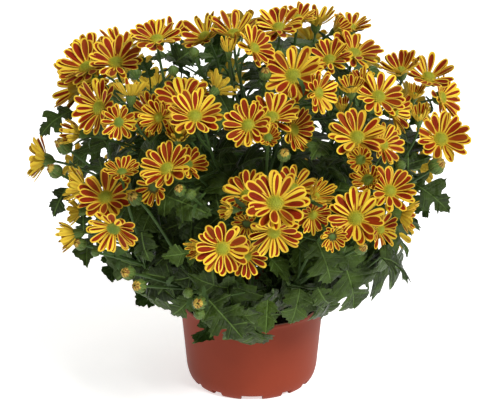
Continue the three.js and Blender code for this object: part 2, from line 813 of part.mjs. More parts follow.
// How far a leaf keeps from every bloom, stalk and earlier leaf: below 0 it touches one.
function clearance(leaf) {
  const samples = LEAF_SAMPLES.map(([share, out]) => bladePoint(leaf, share, out, 0));
  let least = Infinity;
  for (const sample of samples) {
    for (const bloom of allBlooms) {
      const between = sample.clone().sub(bloom.middle);
      const distance = between.length();
      least = Math.min(least, distance - reachOf(bloom, between.normalize()));
    }
    for (const point of stalkPoints) {
      least = Math.min(least, sample.distanceTo(point) - STALK_CLEARANCE);
    }
    for (const point of leafPoints) {
      least = Math.min(least, sample.distanceTo(point) - LEAF_CLEARANCE);
    }
  }
  return least;
}

// Of several places for one leaf, takes the one that keeps clearest.
function clearestLeaf(tries) {
  const scores = tries.map(clearance);
  const leaf = tries[scores.indexOf(Math.max(...scores))];
  leaf.root.taken = true;
  leafPoints.push(...LEAF_SAMPLES.map(([share, out]) => bladePoint(leaf, share, out, 0)));
  return leaf;
}

function frontLeaves() {
  return FRONT_LEAVES.map(([fromAcross, fromDown, toAcross, toDown, roll]) => {
    const plain = Math.hypot(toAcross - fromAcross, toDown - fromDown) < PLAIN_LEAF;
    return clearestLeaf(LEAF_DEPTHS.map(([baseShare, tipShare]) => {
      const base = crownPoint(fromAcross, fromDown, baseShare);
      const tip = crownPoint(toAcross, toDown, tipShare);
      return { ...blade(base, tip, roll, plain), root: nearestShootPoint(base) };
    }));
  });
}

function skirtLeaves() {
  const leaves = [];
  for (let number = 0; number < SKIRT_LEAVES; number += 1) {
    const tries = [];
    for (let attempt = 0; attempt < LEAF_TRIES; attempt += 1) {
      const place = (number + 0.5 + random(-SKIRT_SCATTER, SKIRT_SCATTER)) / SKIRT_LEAVES;
      const turn = SKIRT_START + (SKIRT_END - SKIRT_START) * place;
      const base = polar(random(...SKIRT_BASE_RADIUS), turn, random(...SKIRT_BASE_HEIGHT));
      const tipTurn = turn + random(...SKIRT_TIP_TURN);
      const tip = polar(random(...SKIRT_TIP_RADIUS), tipTurn, random(...SKIRT_TIP_HEIGHT));
      const leaf = blade(base, tip, random(...SKIRT_ROLL), true);
      tries.push({ ...leaf, root: nearestShootPoint(base) });
    }
    leaves.push(clearestLeaf(tries));
  }
  return leaves;
}

function shootLeaves() {
  const leaves = [];
  for (const shoot of shoots.filter((_, index) => index % BARE_SHOOT !== 0)) {
    const tries = [];
    for (let attempt = 0; attempt < LEAF_TRIES; attempt += 1) {
      tries.push(shootLeaf(shoot, random(...SHOOT_LEAF_PLACE), attempt % 2 ? 1 : -1));
    }
    leaves.push(clearestLeaf(tries));
  }
  return leaves;
}

function shootLeaf(shoot, share, side) {
  const root = { number: shoot.number, point: shoot.curve.getPoint(share) };
  const way = shoot.curve.getTangent(share);
  const aside = new THREE.Vector3().crossVectors(way, UP).normalize();
  const turn = random(...SHOOT_LEAF_TURN);
  way.multiplyScalar(Math.cos(turn)).addScaledVector(aside, Math.sin(turn) * side);
  way.z -= random(...SHOOT_LEAF_DROOP);
  way.normalize();
  const base = root.point.clone().addScaledVector(way, PETIOLE_LENGTH);
  const tip = base.clone().addScaledVector(way, random(...SHOOT_LEAF_LENGTH));
  return { ...blade(base, tip, random(...SHOOT_LEAF_ROLL), true), root };
}

// ---- Cuttings ----

function cuttingNumber(point) {
  const share = (Math.atan2(point.y, point.x) - cuttingTurn(0)) / TURN;
  return (Math.round(share * CUTTINGS) + CUTTINGS) % CUTTINGS;
}

function makeShoots() {
  const made = [];
  for (let number = 0; number < CUTTINGS; number += 1) {
    SHOOT_AIMS.forEach(([aside, lift], index) => {
      const rise = (index + 1) / SHOOT_AIMS.length;
      const start = polar(
        THREE.MathUtils.lerp(CUTTING_CIRCLE, FORK_CIRCLE, rise),
        cuttingTurn(number),
        THREE.MathUtils.lerp(STEM_BEND, FORK_HEIGHT, rise),
      );
      const turn = cuttingTurn(number) + (aside + random(...SHOOT_AIM_SCATTER)) * DEGREE;
      const level = Math.cos(lift * DEGREE) * SHOOT_REACH;
      const height = (lift < 0 ? CROWN_DOWN : CROWN_UP) * Math.sin(lift * DEGREE) * SHOOT_REACH;
      const end = CROWN_MIDDLE.clone();
      end.add(new THREE.Vector3(CROWN_WIDE * Math.cos(turn), CROWN_DEEP * Math.sin(turn), 0)
        .multiplyScalar(level));
      end.z += height;
      const bend = start.clone().lerp(end, 0.5);
      bend.z += SHOOT_ARCH;
      made.push({ number, curve: new THREE.QuadraticBezierCurve3(start, bend, end) });
    });
  }
  return made;
}

// Where a stalk or petiole leaves the shoots of the cutting on whose side it stands: the nearest
// of the shoots' forks that carries none yet.
function freeShootPoint(place) {
  const fork = nearestShootPoint(place);
  fork.taken = true;
  return fork;
}

function nearestShootPoint(place) {
  const number = cuttingNumber(place);
  const free = forks.filter((fork) => fork.number === number && !fork.taken);
  const distances = free.map((fork) => fork.point.distanceTo(place));
  return free[distances.indexOf(Math.min(...distances))];
}

function makeForks() {
  return shoots.flatMap(({ number, curve }) => (
    curve.getPoints(FORKS).slice(FIRST_FORK).map((point) => ({ number, point, taken: false }))));
}

// The curve of a stalk that ends straight behind what it carries.
function stalkCurve(root, end, axis) {
  const straight = Math.min(STALK_STRAIGHT, root.distanceTo(end) / 2);
  return new THREE.QuadraticBezierCurve3(root, end.clone().addScaledVector(axis, -straight), end);
}

// The stalk up to `gap` below a bloom's calyx.
function bloomStalk(bloom, gap) {
  const end = bloom.middle.clone().addScaledVector(bloom.axis, -CALYX_DEPTH - gap);
  const root = freeShootPoint(end.clone().addScaledVector(bloom.axis, -STALK_STRAIGHT));
  return { number: root.number, curve: stalkCurve(root.point, end, bloom.axis) };
}

function makeBuds() {
  return BUDS.map(([across, down, wide]) => {
    const middle = crownPoint(across, down, 1);
    const axis = outward(middle).addScaledVector(UP, BUD_UPRIGHTNESS).normalize();
    const radius = wide / 2 * middle.distanceTo(EYE) / FOCAL;
    const end = middle.clone().addScaledVector(axis, -radius * BUD_LENGTH_SHARE);
    const root = freeShootPoint(end.clone().addScaledVector(axis, -STALK_STRAIGHT));
    return { number: root.number, middle, axis, radius, curve: stalkCurve(root.point, end, axis) };
  });
}

// A bud and its stalk, one tube that swells at its end.
function budSolid({ middle, axis, radius, curve }, room) {
  const line = stalkLine(curve);
  const radii = stalkRadii(line, room);
  for (const [height, width] of BUD_RINGS) {
    line.push(middle.clone().addScaledVector(axis, height * (radius * BUD_LENGTH_SHARE + room)));
    radii.push(width * (radius + room));
  }
  return tube(line, radii, BUD_SIDES);
}

// Everything of one cutting but its leaves. `room` makes it fatter all round, to cut clear of it.
function woodOf(number, room) {
  const mine = (each) => each.number === number;
  const foot = polar(CUTTING_CIRCLE, cuttingTurn(number), STEM_FOOT);
  const bend = polar(CUTTING_CIRCLE, cuttingTurn(number), STEM_BEND);
  const fork = polar(FORK_CIRCLE, cuttingTurn(number), FORK_HEIGHT);
  const stemRadii = [1, 1, STEM_TAPER].map((share) => share * STEM_RADIUS + room);
  const stem = tube([foot, bend, fork], stemRadii, STEM_SIDES);
  const shootRadii = [SHOOT_RADIUS, SHOOT_RADIUS * SHOOT_TAPER, SHOOT_END_RADIUS]
    .map((radius) => radius + room);
  const branches = shoots.filter(mine)
    .map(({ curve }) => tube(curve.getPoints(2), shootRadii, SHOOT_SIDES));
  const stalks = ownStalks.filter(mine).map(({ curve }) => {
    const line = stalkLine(curve);
    return tube(line, stalkRadii(line, room), STALK_SIDES);
  });
  const heads = buds.filter(mine).map((bud) => budSolid(bud, room));
  const grown = grownBlooms.filter((bloom) => bloom.number === number)
    .map((bloom) => bloomSolid(bloom, room));
  return join([stem, ...branches, ...stalks, ...heads, ...grown]);
}

// ---- Groups of open blooms whose petals cross, each fused into one ----

function crossingGroups(blooms) {
  const groups = blooms.map((bloom) => [bloom]);
  const crosses = (one, other) => {
    const reach = (one.radius + other.radius) * NEAR_SHARE;
    const near = one.middle.distanceTo(other.middle) < reach;
    return near && !one.fat.intersect(other.shape).isEmpty();
  };
  for (let first = 0; first < groups.length; first += 1) {
    let second = first + 1;
    while (second < groups.length) {
      const meet = groups[first].some((one) => groups[second].some((other) => crosses(one, other)));
      if (meet) {
        groups[first].push(...groups[second]);
        groups.splice(second, 1);
        second = first + 1;
      } else {
        second += 1;
      }
    }
  }
  return groups;
}

// ---- The whole plant ----

const shoots = makeShoots();
const forks = makeForks();
const openBlooms = [...FRONT_BLOOMS.map(seenBloom), ...backBlooms()];
const youngBlooms = YOUNG_BLOOMS.map(seenBloom);
const allBlooms = [...openBlooms, ...youngBlooms];
spreadBlooms(allBlooms);
for (const bloom of openBlooms) {
  bloom.petals = bloom.radius > LARGE_BLOOM ? LARGE_BLOOM_PETALS : SMALL_BLOOM_PETALS;
  bloom.shape = bloomSolid(bloom, 0);
  bloom.fat = bloomSolid(bloom, ROOM);
}
const groups = crossingGroups(openBlooms);
groups.sort((one, other) => other[0].radius * other.length - one[0].radius * one.length);
const grownBlooms = groups.slice(BLOOM_NODES).flat();
for (const bloom of youngBlooms) {
  bloom.petals = YOUNG_PETALS;
  grownBlooms.push(bloom);
}
const ownBlooms = groups.slice(0, BLOOM_NODES).flat();
const ownStalks = ownBlooms.map((bloom) => bloomStalk(bloom, GAP));
for (const bloom of grownBlooms) {
  const stalk = bloomStalk(bloom, 0);
  bloom.number = stalk.number;
  bloom.stalk = stalk.curve;
}
const buds = makeBuds();
const stalkCurves = [...ownStalks, ...buds].map(({ curve }) => curve);
stalkCurves.push(...grownBlooms.map(({ stalk }) => stalk));
const stalkPoints = stalkCurves.flatMap((curve) => curve.getPoints(STALK_SAMPLES));
const leafPoints = [];
const leaves = [...frontLeaves(), ...skirtLeaves(), ...shootLeaves()];

const numbers = [...Array(CUTTINGS).keys()];
const pot = makePot();
const soil = makeSoil();
const woods = numbers.map((number) => woodOf(number, 0));
const fatWoods = numbers.map((number) => woodOf(number, ROOM));

const plant = new THREE.Group();

function addNode(name, shape, look) {
  const material = new THREE.MeshStandardMaterial({ ...look, metalness: 0, flatShading: true });
  const mesh = new THREE.Mesh(geometryOf(shape), material);
  mesh.name = name;
  plant.add(mesh);
}

addNode("pot", pot, COLOURS.pot);
addNode("soil", soil, COLOURS.soil);

// Each cutting is cut clear of the wood and the leaves of those before it.
const fatBlooms = ownBlooms.map((bloom) => bloom.fat);
const earlierLeaves = [];
for (const number of numbers) {
  const otherWoods = fatWoods.filter((_, other) => other !== number);
  const own = leaves.filter((leaf) => leaf.root.number === number);
  const blades = own.map((leaf) => (
    cutBy(leafSheet(leaf, 0), [...otherWoods, ...fatBlooms, ...earlierLeaves])));
  const wood = cutBy(woods[number], fatWoods.slice(0, number));
  addNode(`cutting_${number + 1}`, largestBody(join([wood, ...blades])), COLOURS.green);
  earlierLeaves.push(...own.map((leaf) => leafSheet(leaf, ROOM)));
}

groups.slice(0, BLOOM_NODES).forEach((group, index) => {
  const shape = cutBy(join(group.map((bloom) => bloom.shape)), fatWoods);
  const kind = group.length > 1 ? "spray" : "bloom";
  addNode(`${kind}_${String(index + 1).padStart(2, "0")}`, largestBody(shape), COLOURS.bloom);
});

export default plant;
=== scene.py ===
"""The dressed pot chrysanthemum: striped petals, florets, cut leaves, stems, compost and pot.

The layout repeats the rules of the solids in millimetres, so every piece stands where its node is.
"""

import functools
import itertools
import math

import bpy
import numpy as np
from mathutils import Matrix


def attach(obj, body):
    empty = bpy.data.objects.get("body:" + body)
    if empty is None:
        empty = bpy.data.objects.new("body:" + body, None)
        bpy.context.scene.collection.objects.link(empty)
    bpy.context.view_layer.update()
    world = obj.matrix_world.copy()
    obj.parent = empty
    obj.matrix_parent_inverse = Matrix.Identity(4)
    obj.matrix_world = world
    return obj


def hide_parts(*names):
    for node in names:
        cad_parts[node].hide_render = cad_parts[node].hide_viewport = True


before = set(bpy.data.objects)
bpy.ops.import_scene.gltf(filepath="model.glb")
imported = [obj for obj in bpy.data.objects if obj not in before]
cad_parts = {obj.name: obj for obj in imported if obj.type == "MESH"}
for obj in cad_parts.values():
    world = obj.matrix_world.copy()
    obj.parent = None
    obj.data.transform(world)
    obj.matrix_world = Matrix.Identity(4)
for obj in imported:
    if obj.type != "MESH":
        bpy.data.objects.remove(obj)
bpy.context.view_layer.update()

DEGREE = math.pi / 180
TURN = 2 * math.pi
MM = 0.001
UP = np.array([0.0, 0.0, 1.0])
RIGHT = np.array([1.0, 0.0, 0.0])
ORIGIN = np.zeros(3)
GOLDEN_TURN = TURN * 0.381966
# A way that no stem or rib runs in, and how far off upright an axis has to be to have a side.
ANY_WAY = np.array([0.31, 0.86, 0.4])
UPRIGHT = 0.01

# ---- Pot and soil, as in the solids ----

POT_HEIGHT = 76
RIM_RADIUS = 65
FOOT_RADIUS = 54.5
FOOT_INSIDE = FOOT_RADIUS - 3
BELLY_RADIUS = 59.9
BELLY_HEIGHT = 14
WALL = 1.5
BASE_HEIGHT = 5
NOTCH_HEIGHT = 4.5
WIDE_NOTCH = 20 * DEGREE
NARROW_NOTCH = 10 * DEGREE
NARROW_NOTCH_TURN = 33 * DEGREE
SOIL_TOP = 66
SOIL_DOME = 1.5
GAP = 0.3

# ---- Cuttings, as in the solids ----

CUTTINGS = 5
CUTTING_CIRCLE = 30
STEM_RADIUS = 3.5
STEM_FOOT = 40
STEM_BEND = 78
FORK_HEIGHT = 112
FORK_CIRCLE = 40
SHOOT_RADIUS = 1.9
SHOOT_END_RADIUS = 1.4
STALK_RADIUS = 1.15
STALK_ROOT_RADIUS = 0.75
STALK_STRAIGHT = 26
SHOOT_REACH = 0.66
SHOOT_ARCH = 12
FORKS = 16
FIRST_FORK = 5
SHOOT_AIM_SCATTER = (-4, 4)
SHOOT_AIMS = ((-23, -22), (21, -14), (0, 18), (-19, 44), (18, 50), (-2, 76))

# ---- Crown and viewer's grid, as in the solids ----

CROWN_MIDDLE = np.array([0.0, 0.0, 150.0])
CROWN_WIDE = 185
CROWN_DEEP = 175
CROWN_UP = 190
CROWN_DOWN = 110
RIM_CLEARANCE = 12
EYE = np.array([0.0, -1050.0, 538.0])
LOOK_DOWN = 19.4 * DEGREE
AHEAD = np.array([0, math.cos(LOOK_DOWN), -math.sin(LOOK_DOWN)])
ABOVE = np.array([0, math.sin(LOOK_DOWN), math.cos(LOOK_DOWN)])
FOCAL = 1262
GRID_AXIS = 251.75
GRID_WIDE = 500
GRID_MIDDLE = 200
SENSOR = 36

# ---- Blooms, as in the solids ----

BLOOM_NODES = 53
OPEN_CUP = 22
WHORL_STEP = 7 * DEGREE
INNER_PETAL_SHARE = 0.88
CALYX_DEPTH = 4
LARGE_BLOOM = 24
# Across and down the grid, width, turn to the right, lift, and for some the cup and the depth.
FRONT_BLOOMS = (
    (46, 160, 48, -85, 10, 30, -30), (80, 86, 52, -65, 5, 40, 6), (84, 188, 40, -95, 15, 40, 10),
    (80, 212, 28, -90, 0, 40, 12), (88, 69, 60, -35, 55, 25), (91, 56, 52, -20, 62, 24, 16),
    (96, 80, 38, -20, 20, 22, 30), (101, 108, 60, -42, 22), (106, 199, 62, -10, 52, 20),
    (114, 227, 54, -10, -20), (116, 64, 56, 3, 55, 22, -12), (119, 122, 38, 0, 15, 22, -4),
    (121, 49, 44, 20, 82, 35, 14), (122, 173, 38, 0, 70, 24), (131, 97, 36, 165, 75, 42),
    (152, 115, 52, -45, 10, 22, 20), (154, 187, 36, -20, 0, 30), (157, 41, 52, -5, 65),
    (160, 118, 36, -20, 20, 40, 10), (168, 170, 56, -25, 50), (172, 36, 44, 30, 75, 30, 14),
    (184, 105, 64, -10, 50, 15, 18), (187, 165, 42, 30, 50, 22, 18), (195, 118, 58, 5, 50, 22, -8),
    (206, 38, 50, -42, 52, 30), (216, 90, 36, 120, 35, 35), (223, 248, 56, -5, 15),
    (234, 36, 52, 0, 72, 32), (247, 223, 32, -10, -10, 25, 24), (249, 126, 52, -20, 35),
    (248, 196, 54, -28, 48, 20, 18), (246, 256, 44, 10, 0, 22, 14), (253, 49, 46, 45, 35, 22, -3),
    (272, 119, 58, 5, 60, 22, -2), (274, 231, 56, 5, -20, 20, 6), (275, 205, 68, 5, 48, 24, 2),
    (279, 29, 52, -10, 60), (293, 77, 64, 0, 35, 22, 10), (293, 190, 52, 20, 50, 22, 24),
    (298, 20, 38, 15, 68, 25), (292, 130, 50, 50, 18, 25, 8), (314, 197, 28, 40, 35, 55),
    (312, 214, 40, 25, -5, 22, 12), (316, 25, 38, 20, 82, 40, 10), (317, 93, 46, 45, 15),
    (330, 61, 50, -10, 58), (335, 31, 28, 60, 35, 45, 20), (332, 236, 28, 10, 0, 35),
    (351, 29, 40, 10, 68, 28), (356, 219, 60, -5, 35), (354, 55, 57, 20, 60, 22, 8),
    (357, 139, 62, 0, 48), (362, 84, 30, -20, 60, 35, 8), (378, 98, 56, 20, 45),
    (379, 229, 42, 40, 5, 22, 12), (382, 145, 46, 42, 25, 22, 8), (389, 192, 54, 15, 45),
    (392, 112, 46, 60, 5, 28, 18), (401, 73, 42, -25, 70, 36, -12), (401, 214, 36, 70, -10, 40),
    (428, 79, 50, 12, 58, 30), (440, 98, 50, 55, 20), (440, 140, 58, 10, 38, 22, 14),
)
YOUNG_BLOOMS = (
    (77, 234, 30, -78, -8, 50), (81, 134, 26, -70, 15, 55), (178, 139, 26, 5, 60, 50),
    (201, 247, 22, -60, 0, 50), (229, 53, 18, 0, 85, 60), (232, 210, 20, -60, 10, 50),
    (268, 139, 26, 0, 45, 35), (343, 112, 20, -10, 75, 60, 8), (351, 92, 28, -15, 75, 45),
    (361, 160, 26, -10, 20, 55), (369, 181, 30, -20, 30, 55), (414, 98, 18, 10, 60, 60),
    (419, 121, 20, -10, 70, 60),
)
# Across, down and width.
BUDS = (
    (55, 171, 14), (64, 146, 16), (80, 244, 12), (95, 252, 9), (128, 273, 14), (135, 198, 15),
    (139, 286, 14), (173, 70, 10), (180, 190, 12), (188, 293, 10), (191, 194, 10), (194, 52, 10),
    (199, 303, 14), (199, 314, 11), (265, 74, 12), (284, 155, 13), (361, 248, 13), (401, 165, 10),
    (437, 166, 16),
)
BUD_LENGTH_SHARE = 1.15
BUD_LIFT = 0.4
# Height, how many, and the turns where the row of them starts and ends.
BACK_RINGS = (
    (112, 5, 30, 150), (168, 7, 24, 156), (222, 6, 22, 158), (264, 4, 30, 150), (284, 3, 50, 130),
)
BACK_BLOOM_RADIUS = (21, 26)
BACK_BLOOM_LIFT = 12 * DEGREE
BACK_SCATTER = 0.35
BACK_DEEP = 184
BACK_HEIGHT_SCATTER = (-12, 12)
BACK_TILT = (-0.25, 0.25)
BACK_CUP = (6, 20)
SPREAD_ROUNDS = 60
SPREAD_LIMIT = 26
BLOOM_FLATNESS = 0.4

# ---- Leaves, as in the solids ----

LEAF_FOLD = 0.28
LEAF_ARCH = 0.1
LEAF_LIFT = 0.5
LEAF_DEPTHS = ((0.84, 0.96), (0.8, 0.9), (0.76, 0.84), (0.72, 0.78), (0.66, 0.72))
LEAF_SAMPLES = (
    (0.1, 0), (0.4, 0), (0.7, 0), (1, 0), (0.25, -0.3), (0.25, 0.3), (0.55, -0.3), (0.55, 0.3),
)
STALK_CLEARANCE = 5
LEAF_CLEARANCE = 9
LEAF_TRIES = 8
PLAIN_LEAF = 40
# The places of base and tip on the grid, and the roll.
FRONT_LEAVES = (
    (72, 111, 39, 136, -40), (116, 142, 72, 165, -30), (104, 158, 78, 182, -20),
    (67, 188, 53, 217, -60), (113, 252, 112, 283, 65), (90, 240, 86, 264, -50),
    (178, 282, 148, 302, -30), (193, 296, 171, 317, -15), (213, 312, 194, 346, -10),
    (226, 273, 252, 346, 12), (209, 300, 243, 338, -20), (252, 315, 262, 344, 0),
    (268, 300, 266, 334, 10), (300, 288, 291, 326, 10), (306, 290, 331, 317, 10),
    (338, 250, 356, 311, 10), (350, 250, 404, 270, 20), (392, 235, 408, 257, 15),
    (408, 181, 450, 213, 50), (198, 250, 162, 257, -30), (207, 272, 172, 281, -20),
    (198, 200, 178, 228, -10), (213, 57, 181, 66, -20), (225, 66, 203, 72, 30),
    (352, 65, 384, 80, 20), (345, 160, 327, 165, 40), (322, 142, 312, 158, 0),
)
BARE_SHOOT = 4
SHOOT_LEAF_LENGTH = (46, 62)
SHOOT_LEAF_PLACE = (0.45, 0.9)
SHOOT_LEAF_TURN = (45 * DEGREE, 79 * DEGREE)
SHOOT_LEAF_DROOP = (-0.05, 0.55)
SHOOT_LEAF_ROLL = (-25, 25)
PETIOLE_LENGTH = 8
SKIRT_LEAVES = 11
SKIRT_START = -8 * DEGREE
SKIRT_END = 188 * DEGREE
SKIRT_SCATTER = 0.45
SKIRT_BASE_RADIUS = (76, 92)
SKIRT_BASE_HEIGHT = (92, 112)
SKIRT_TIP_RADIUS = (106, 124)
SKIRT_TIP_HEIGHT = (70, 98)
SKIRT_TIP_TURN = (-0.25, 0.25)
SKIRT_ROLL = (-15, 15)

# ---- Finer forms ----

# A bud's rings of scales, up from its stalk: how many, the heights of their two ends, how far out
# they start, bulge and end, all in shares of its radius. Then its rings of rays, if it opens.
BUD_SCALES = (
    (9, -0.95, -0.1, 0.5, 0.98, 0.93), (9, -0.55, 0.4, 0.85, 1.02, 0.9),
    (8, -0.2, 0.86, 0.94, 0.9, 0.55), (7, 0.3, 1.05, 0.82, 0.62, 0.22),
)
BUD_RAYS = ((10, 0.95, 1.08), (6, 0.7, 1.2))
OPENING_BUD = 4.4
BUD_PROFILE = (
    (0.2, -1.15), (0.55, -0.95), (0.85, -0.5), (0.93, 0), (0.82, 0.42), (0.6, 0.74), (0.3, 0.92),
)

# Blooms whose discs are still a hollow, coloured near black as painted shade, and those whose discs
# are green, by place on the grid.
HOLLOW_DISCS = {(154, 187), (332, 236), (247, 223), (232, 210), (351, 92)}
GREEN_DISCS = {(119, 122), (122, 173), (131, 97), (187, 165), (216, 90), (114, 227)}
DISC_SHARE = 0.24
YOUNG_DISC_SHARE = 0.34
DISC_RISE = 2.9
GREEN_RISE = 1.7
HOLLOW_RISE = -1.5
FLORETS = 72
YOUNG_FLORETS = 42
FLORET_SIDES = 5
# Rays in the outer whorl, the inner one, and the few that curl up against the disc, on a small
# bloom and on a large one.
WHORLS = ((12, 9, 2), (12, 10, 3))
YOUNG_WHORLS = (13, 8, 0)
CURLED_WHORL = 2
PETAL_WIDTH = 0.175
YOUNG_PETAL_WIDTH = 0.19
PETAL_WIDTH_SCATTER = (0.82, 1.02)
PETAL_LENGTH = (0.93, 1.02)
PETAL_ASIDE = (-0.18, 0.18)
PETAL_ROLL = (-0.5, 0.5)
PETAL_CURL = (-0.9, 0.8)
PETAL_SWAY = 7 * DEGREE
# Between these cups, rays go from ones that arch over to ones that bend up.
HALF_OPEN_CUP = (15 * DEGREE, 45 * DEGREE)
# The forms of rays and scales: rows along, columns across, and the width of each row.
PETAL_FORM = (
    np.array([0, 0.14, 0.3, 0.46, 0.6, 0.72, 0.82, 0.9, 0.96, 1.0]),
    np.array([-1, -0.55, 0, 0.55, 1.0]),
    np.array([0.3, 0.42, 0.64, 0.85, 0.96, 1.0, 0.98, 0.88, 0.66, 0.34]),
)
SCALE_FORM = (
    np.array([0, 0.35, 0.7, 1.0]), np.array([-1, 0, 1.0]), np.array([0.8, 1.0, 0.75, 0.12]),
)
STALK_BRACT_FORM = (
    *PETAL_FORM[:2], np.array([0.3, 0.4, 0.75, 1.0, 0.7, 0.95, 0.6, 0.45, 0.2, 0.06]),
)
RAY_THICKNESS = 0.5
RAY_CHANNEL = 0.25
CURL_NARROWS = 0.35
CALYX_SCALES = 11
# A calyx's depth, and how small a bloom has the smaller one.
LARGE_CALYX = 6.5
SMALL_CALYX = 5
SMALL_BLOOM = 14
SCALE_ASIDE = (-0.15, 0.15)

# Half a leaf's edge, from the petiole to the tip: each point's place along and out, the place on
# the midrib that its vein comes from, all in shares of the blade's length, and its vein's number,
# which is whole at a tooth's tip.
LOBED_EDGE = np.array([
    (0.000, 0.012, 0.000, 0.5), (0.010, 0.080, 0.005, 0.7), (0.035, 0.205, 0.020, 1.0),
    (0.090, 0.230, 0.035, 1.5), (0.125, 0.325, 0.055, 2.0), (0.170, 0.320, 0.075, 2.5),
    (0.220, 0.375, 0.100, 3.0), (0.245, 0.320, 0.130, 3.5), (0.275, 0.270, 0.160, 4.0),
    (0.265, 0.170, 0.190, 4.3), (0.320, 0.085, 0.225, 4.5), (0.375, 0.140, 0.250, 4.7),
    (0.375, 0.260, 0.270, 5.0), (0.425, 0.305, 0.290, 5.5), (0.455, 0.410, 0.320, 6.0),
    (0.510, 0.385, 0.345, 6.5), (0.565, 0.450, 0.375, 7.0), (0.590, 0.375, 0.410, 7.5),
    (0.635, 0.320, 0.445, 8.0), (0.605, 0.200, 0.480, 8.3), (0.645, 0.085, 0.530, 8.5),
    (0.700, 0.135, 0.560, 8.7), (0.715, 0.225, 0.585, 9.0), (0.760, 0.215, 0.620, 9.5),
    (0.825, 0.265, 0.660, 10.0), (0.840, 0.190, 0.700, 10.5), (0.900, 0.180, 0.750, 11.0),
    (0.895, 0.110, 0.800, 11.4), (0.950, 0.095, 0.860, 12.0), (0.960, 0.050, 0.920, 12.5),
    (1.000, 0.008, 0.985, 13.0),
])
# The numbers of the veins, and the same in a count that is whole at the lobes' own veins alone.
LOBED_VEINS = ((0, 3, 7, 10, 13), (0.5, 1, 2, 3, 3.5))
PLAIN_EDGE = np.array([
    (0.000, 0.014, 0.000, 0.5), (0.025, 0.085, 0.010, 0.7), (0.080, 0.210, 0.040, 1.0),
    (0.140, 0.230, 0.070, 1.5), (0.205, 0.325, 0.100, 2.0), (0.260, 0.305, 0.135, 2.5),
    (0.325, 0.355, 0.170, 3.0), (0.350, 0.285, 0.210, 3.5), (0.385, 0.230, 0.250, 4.0),
    (0.370, 0.150, 0.290, 4.3), (0.430, 0.085, 0.330, 4.5), (0.490, 0.140, 0.360, 4.7),
    (0.505, 0.245, 0.390, 5.0), (0.565, 0.260, 0.430, 5.5), (0.645, 0.330, 0.470, 6.0),
    (0.680, 0.260, 0.520, 6.5), (0.770, 0.240, 0.580, 7.0), (0.765, 0.160, 0.640, 7.4),
    (0.850, 0.150, 0.710, 8.0), (0.865, 0.090, 0.790, 8.5), (0.930, 0.075, 0.860, 9.0),
    (0.950, 0.040, 0.930, 9.5), (0.996, 0.010, 0.985, 10.0),
])
PLAIN_VEINS = ((0, 3, 6, 10), (0.5, 1, 2, 2.5))
LEAF_COLUMNS = np.array([-1, -0.84, -0.58, -0.28, 0, 0.28, 0.58, 0.84, 1.0])
LEAF_THICKNESS = 0.7
LEAF_QUILT = 0.025
LOBE_QUILT = 0.055
LOBE_LIFT = 0.35
LEAF_TONE = 0.4
LEAF_WAVE = (0.012, 0.03)
LEAF_DROOP = (0.02, 0.14)
LEAF_CURL = (0.35, 0.8)
LEAF_WAVE_TURN = 11
# How uneven the edge's points are, along and out, except where they are this near the midrib.
EDGE_ALONG = (-0.05, 0.05)
EDGE_OUT = (-0.08, 0.08)
PETIOLE_EDGE = 0.05
PETIOLE_RADII = (1.0, 0.75)
RIB_RADII = (0.75, 0.2)
RIB_DEPTH = 0.45

STALK_BRACTS = (1, 3)
STALK_BRACT_PLACE = (0.3, 0.92)
STALK_BRACT_LENGTH = (9, 17)

# Leaves of the shadow inside the crown, that the solids leave out. Some on each shoot:
INNER_LEAVES = 3
INNER_LEAF_PLACE = (0.12, 0.9)
INNER_LEAF_LENGTH = (40, 58)
# More of them just below the blooms, spread evenly over the crown.
CROWN_LEAVES = 84
CROWN_LEAF_RISE = (-0.42, 0.86)
CROWN_LEAF_TIP = (0.7, 0.84)
CROWN_LEAF_LENGTH = (40, 58)
CROWN_LEAF_ROLL = (-45, 45)
CROWN_LEAF_OUT = (0.1, 0.7)
CROWN_LEAF_UP = (-0.4, 0.6)
CROWN_LEAF_LOWEST = 112
# And some deep in it, laid out as the front leaves are. The last of them have a depth of their own.
SHADE_LEAVES = (
    (150, 215, 140, 255, -10), (165, 235, 150, 275, 10), (190, 255, 175, 290, 0),
    (240, 285, 235, 318, 0), (300, 240, 318, 285, 10), (320, 262, 338, 300, -10),
    (285, 275, 300, 310, 0), (150, 205, 120, 235, 20), (330, 165, 345, 195, 10),
    (170, 200, 150, 235, 0), (215, 190, 225, 225, 10), (330, 260, 320, 300, 10),
    (205, 240, 195, 275, 0), (192, 64, 150, 58, -20), (190, 76, 158, 70, 10),
    (150, 78, 138, 56, 0), (206, 78, 188, 56, 0), (268, 96, 246, 86, 0), (412, 142, 402, 116, 0),
    (404, 130, 416, 108, 10), (256, 80, 268, 96, 0), (330, 50, 318, 30, 0), (306, 120, 298, 98, 0),
    (330, 135, 322, 118, 0), (402, 160, 388, 170, 0), (432, 112, 426, 96, 0),
    (296, 246, 324, 226, 0), (322, 250, 306, 222, 10), (196, 196, 220, 204, 0),
    (316, 240, 332, 284, 10, 0.86), (346, 246, 328, 276, -10, 0.8), (142, 232, 150, 262, 0, 0.84),
    (408, 170, 404, 130, -30, 0.84), (182, 66, 176, 42, -30, 0.5), (262, 78, 250, 58, -30, 0.7),
    (176, 62, 196, 48, 60, 0.84), (84, 232, 84, 208, 60, 0.6), (280, 60, 285, 38, 0, 0.84),
    (380, 258, 408, 277, -30, 0.92), (410, 198, 429, 217, -60, 0.7), (106, 182, 98, 156, 30, 0.92),
    (108, 146, 98, 126, 0, 0.84), (272, 256, 252, 272, -30, 0.5), (318, 288, 330, 306, 30, 0.84),
    (356, 236, 344, 250, 30, 0.4),
)
SHADE_DEPTHS = (0.5, 0.6, 0.7)
# None of them shows its tip in these rounds of the grid, where the plant draws in above the pot.
BARE_ROUNDS = ((394, 285, 12), (413, 255, 10), (103, 269, 14), (82, 246, 9))

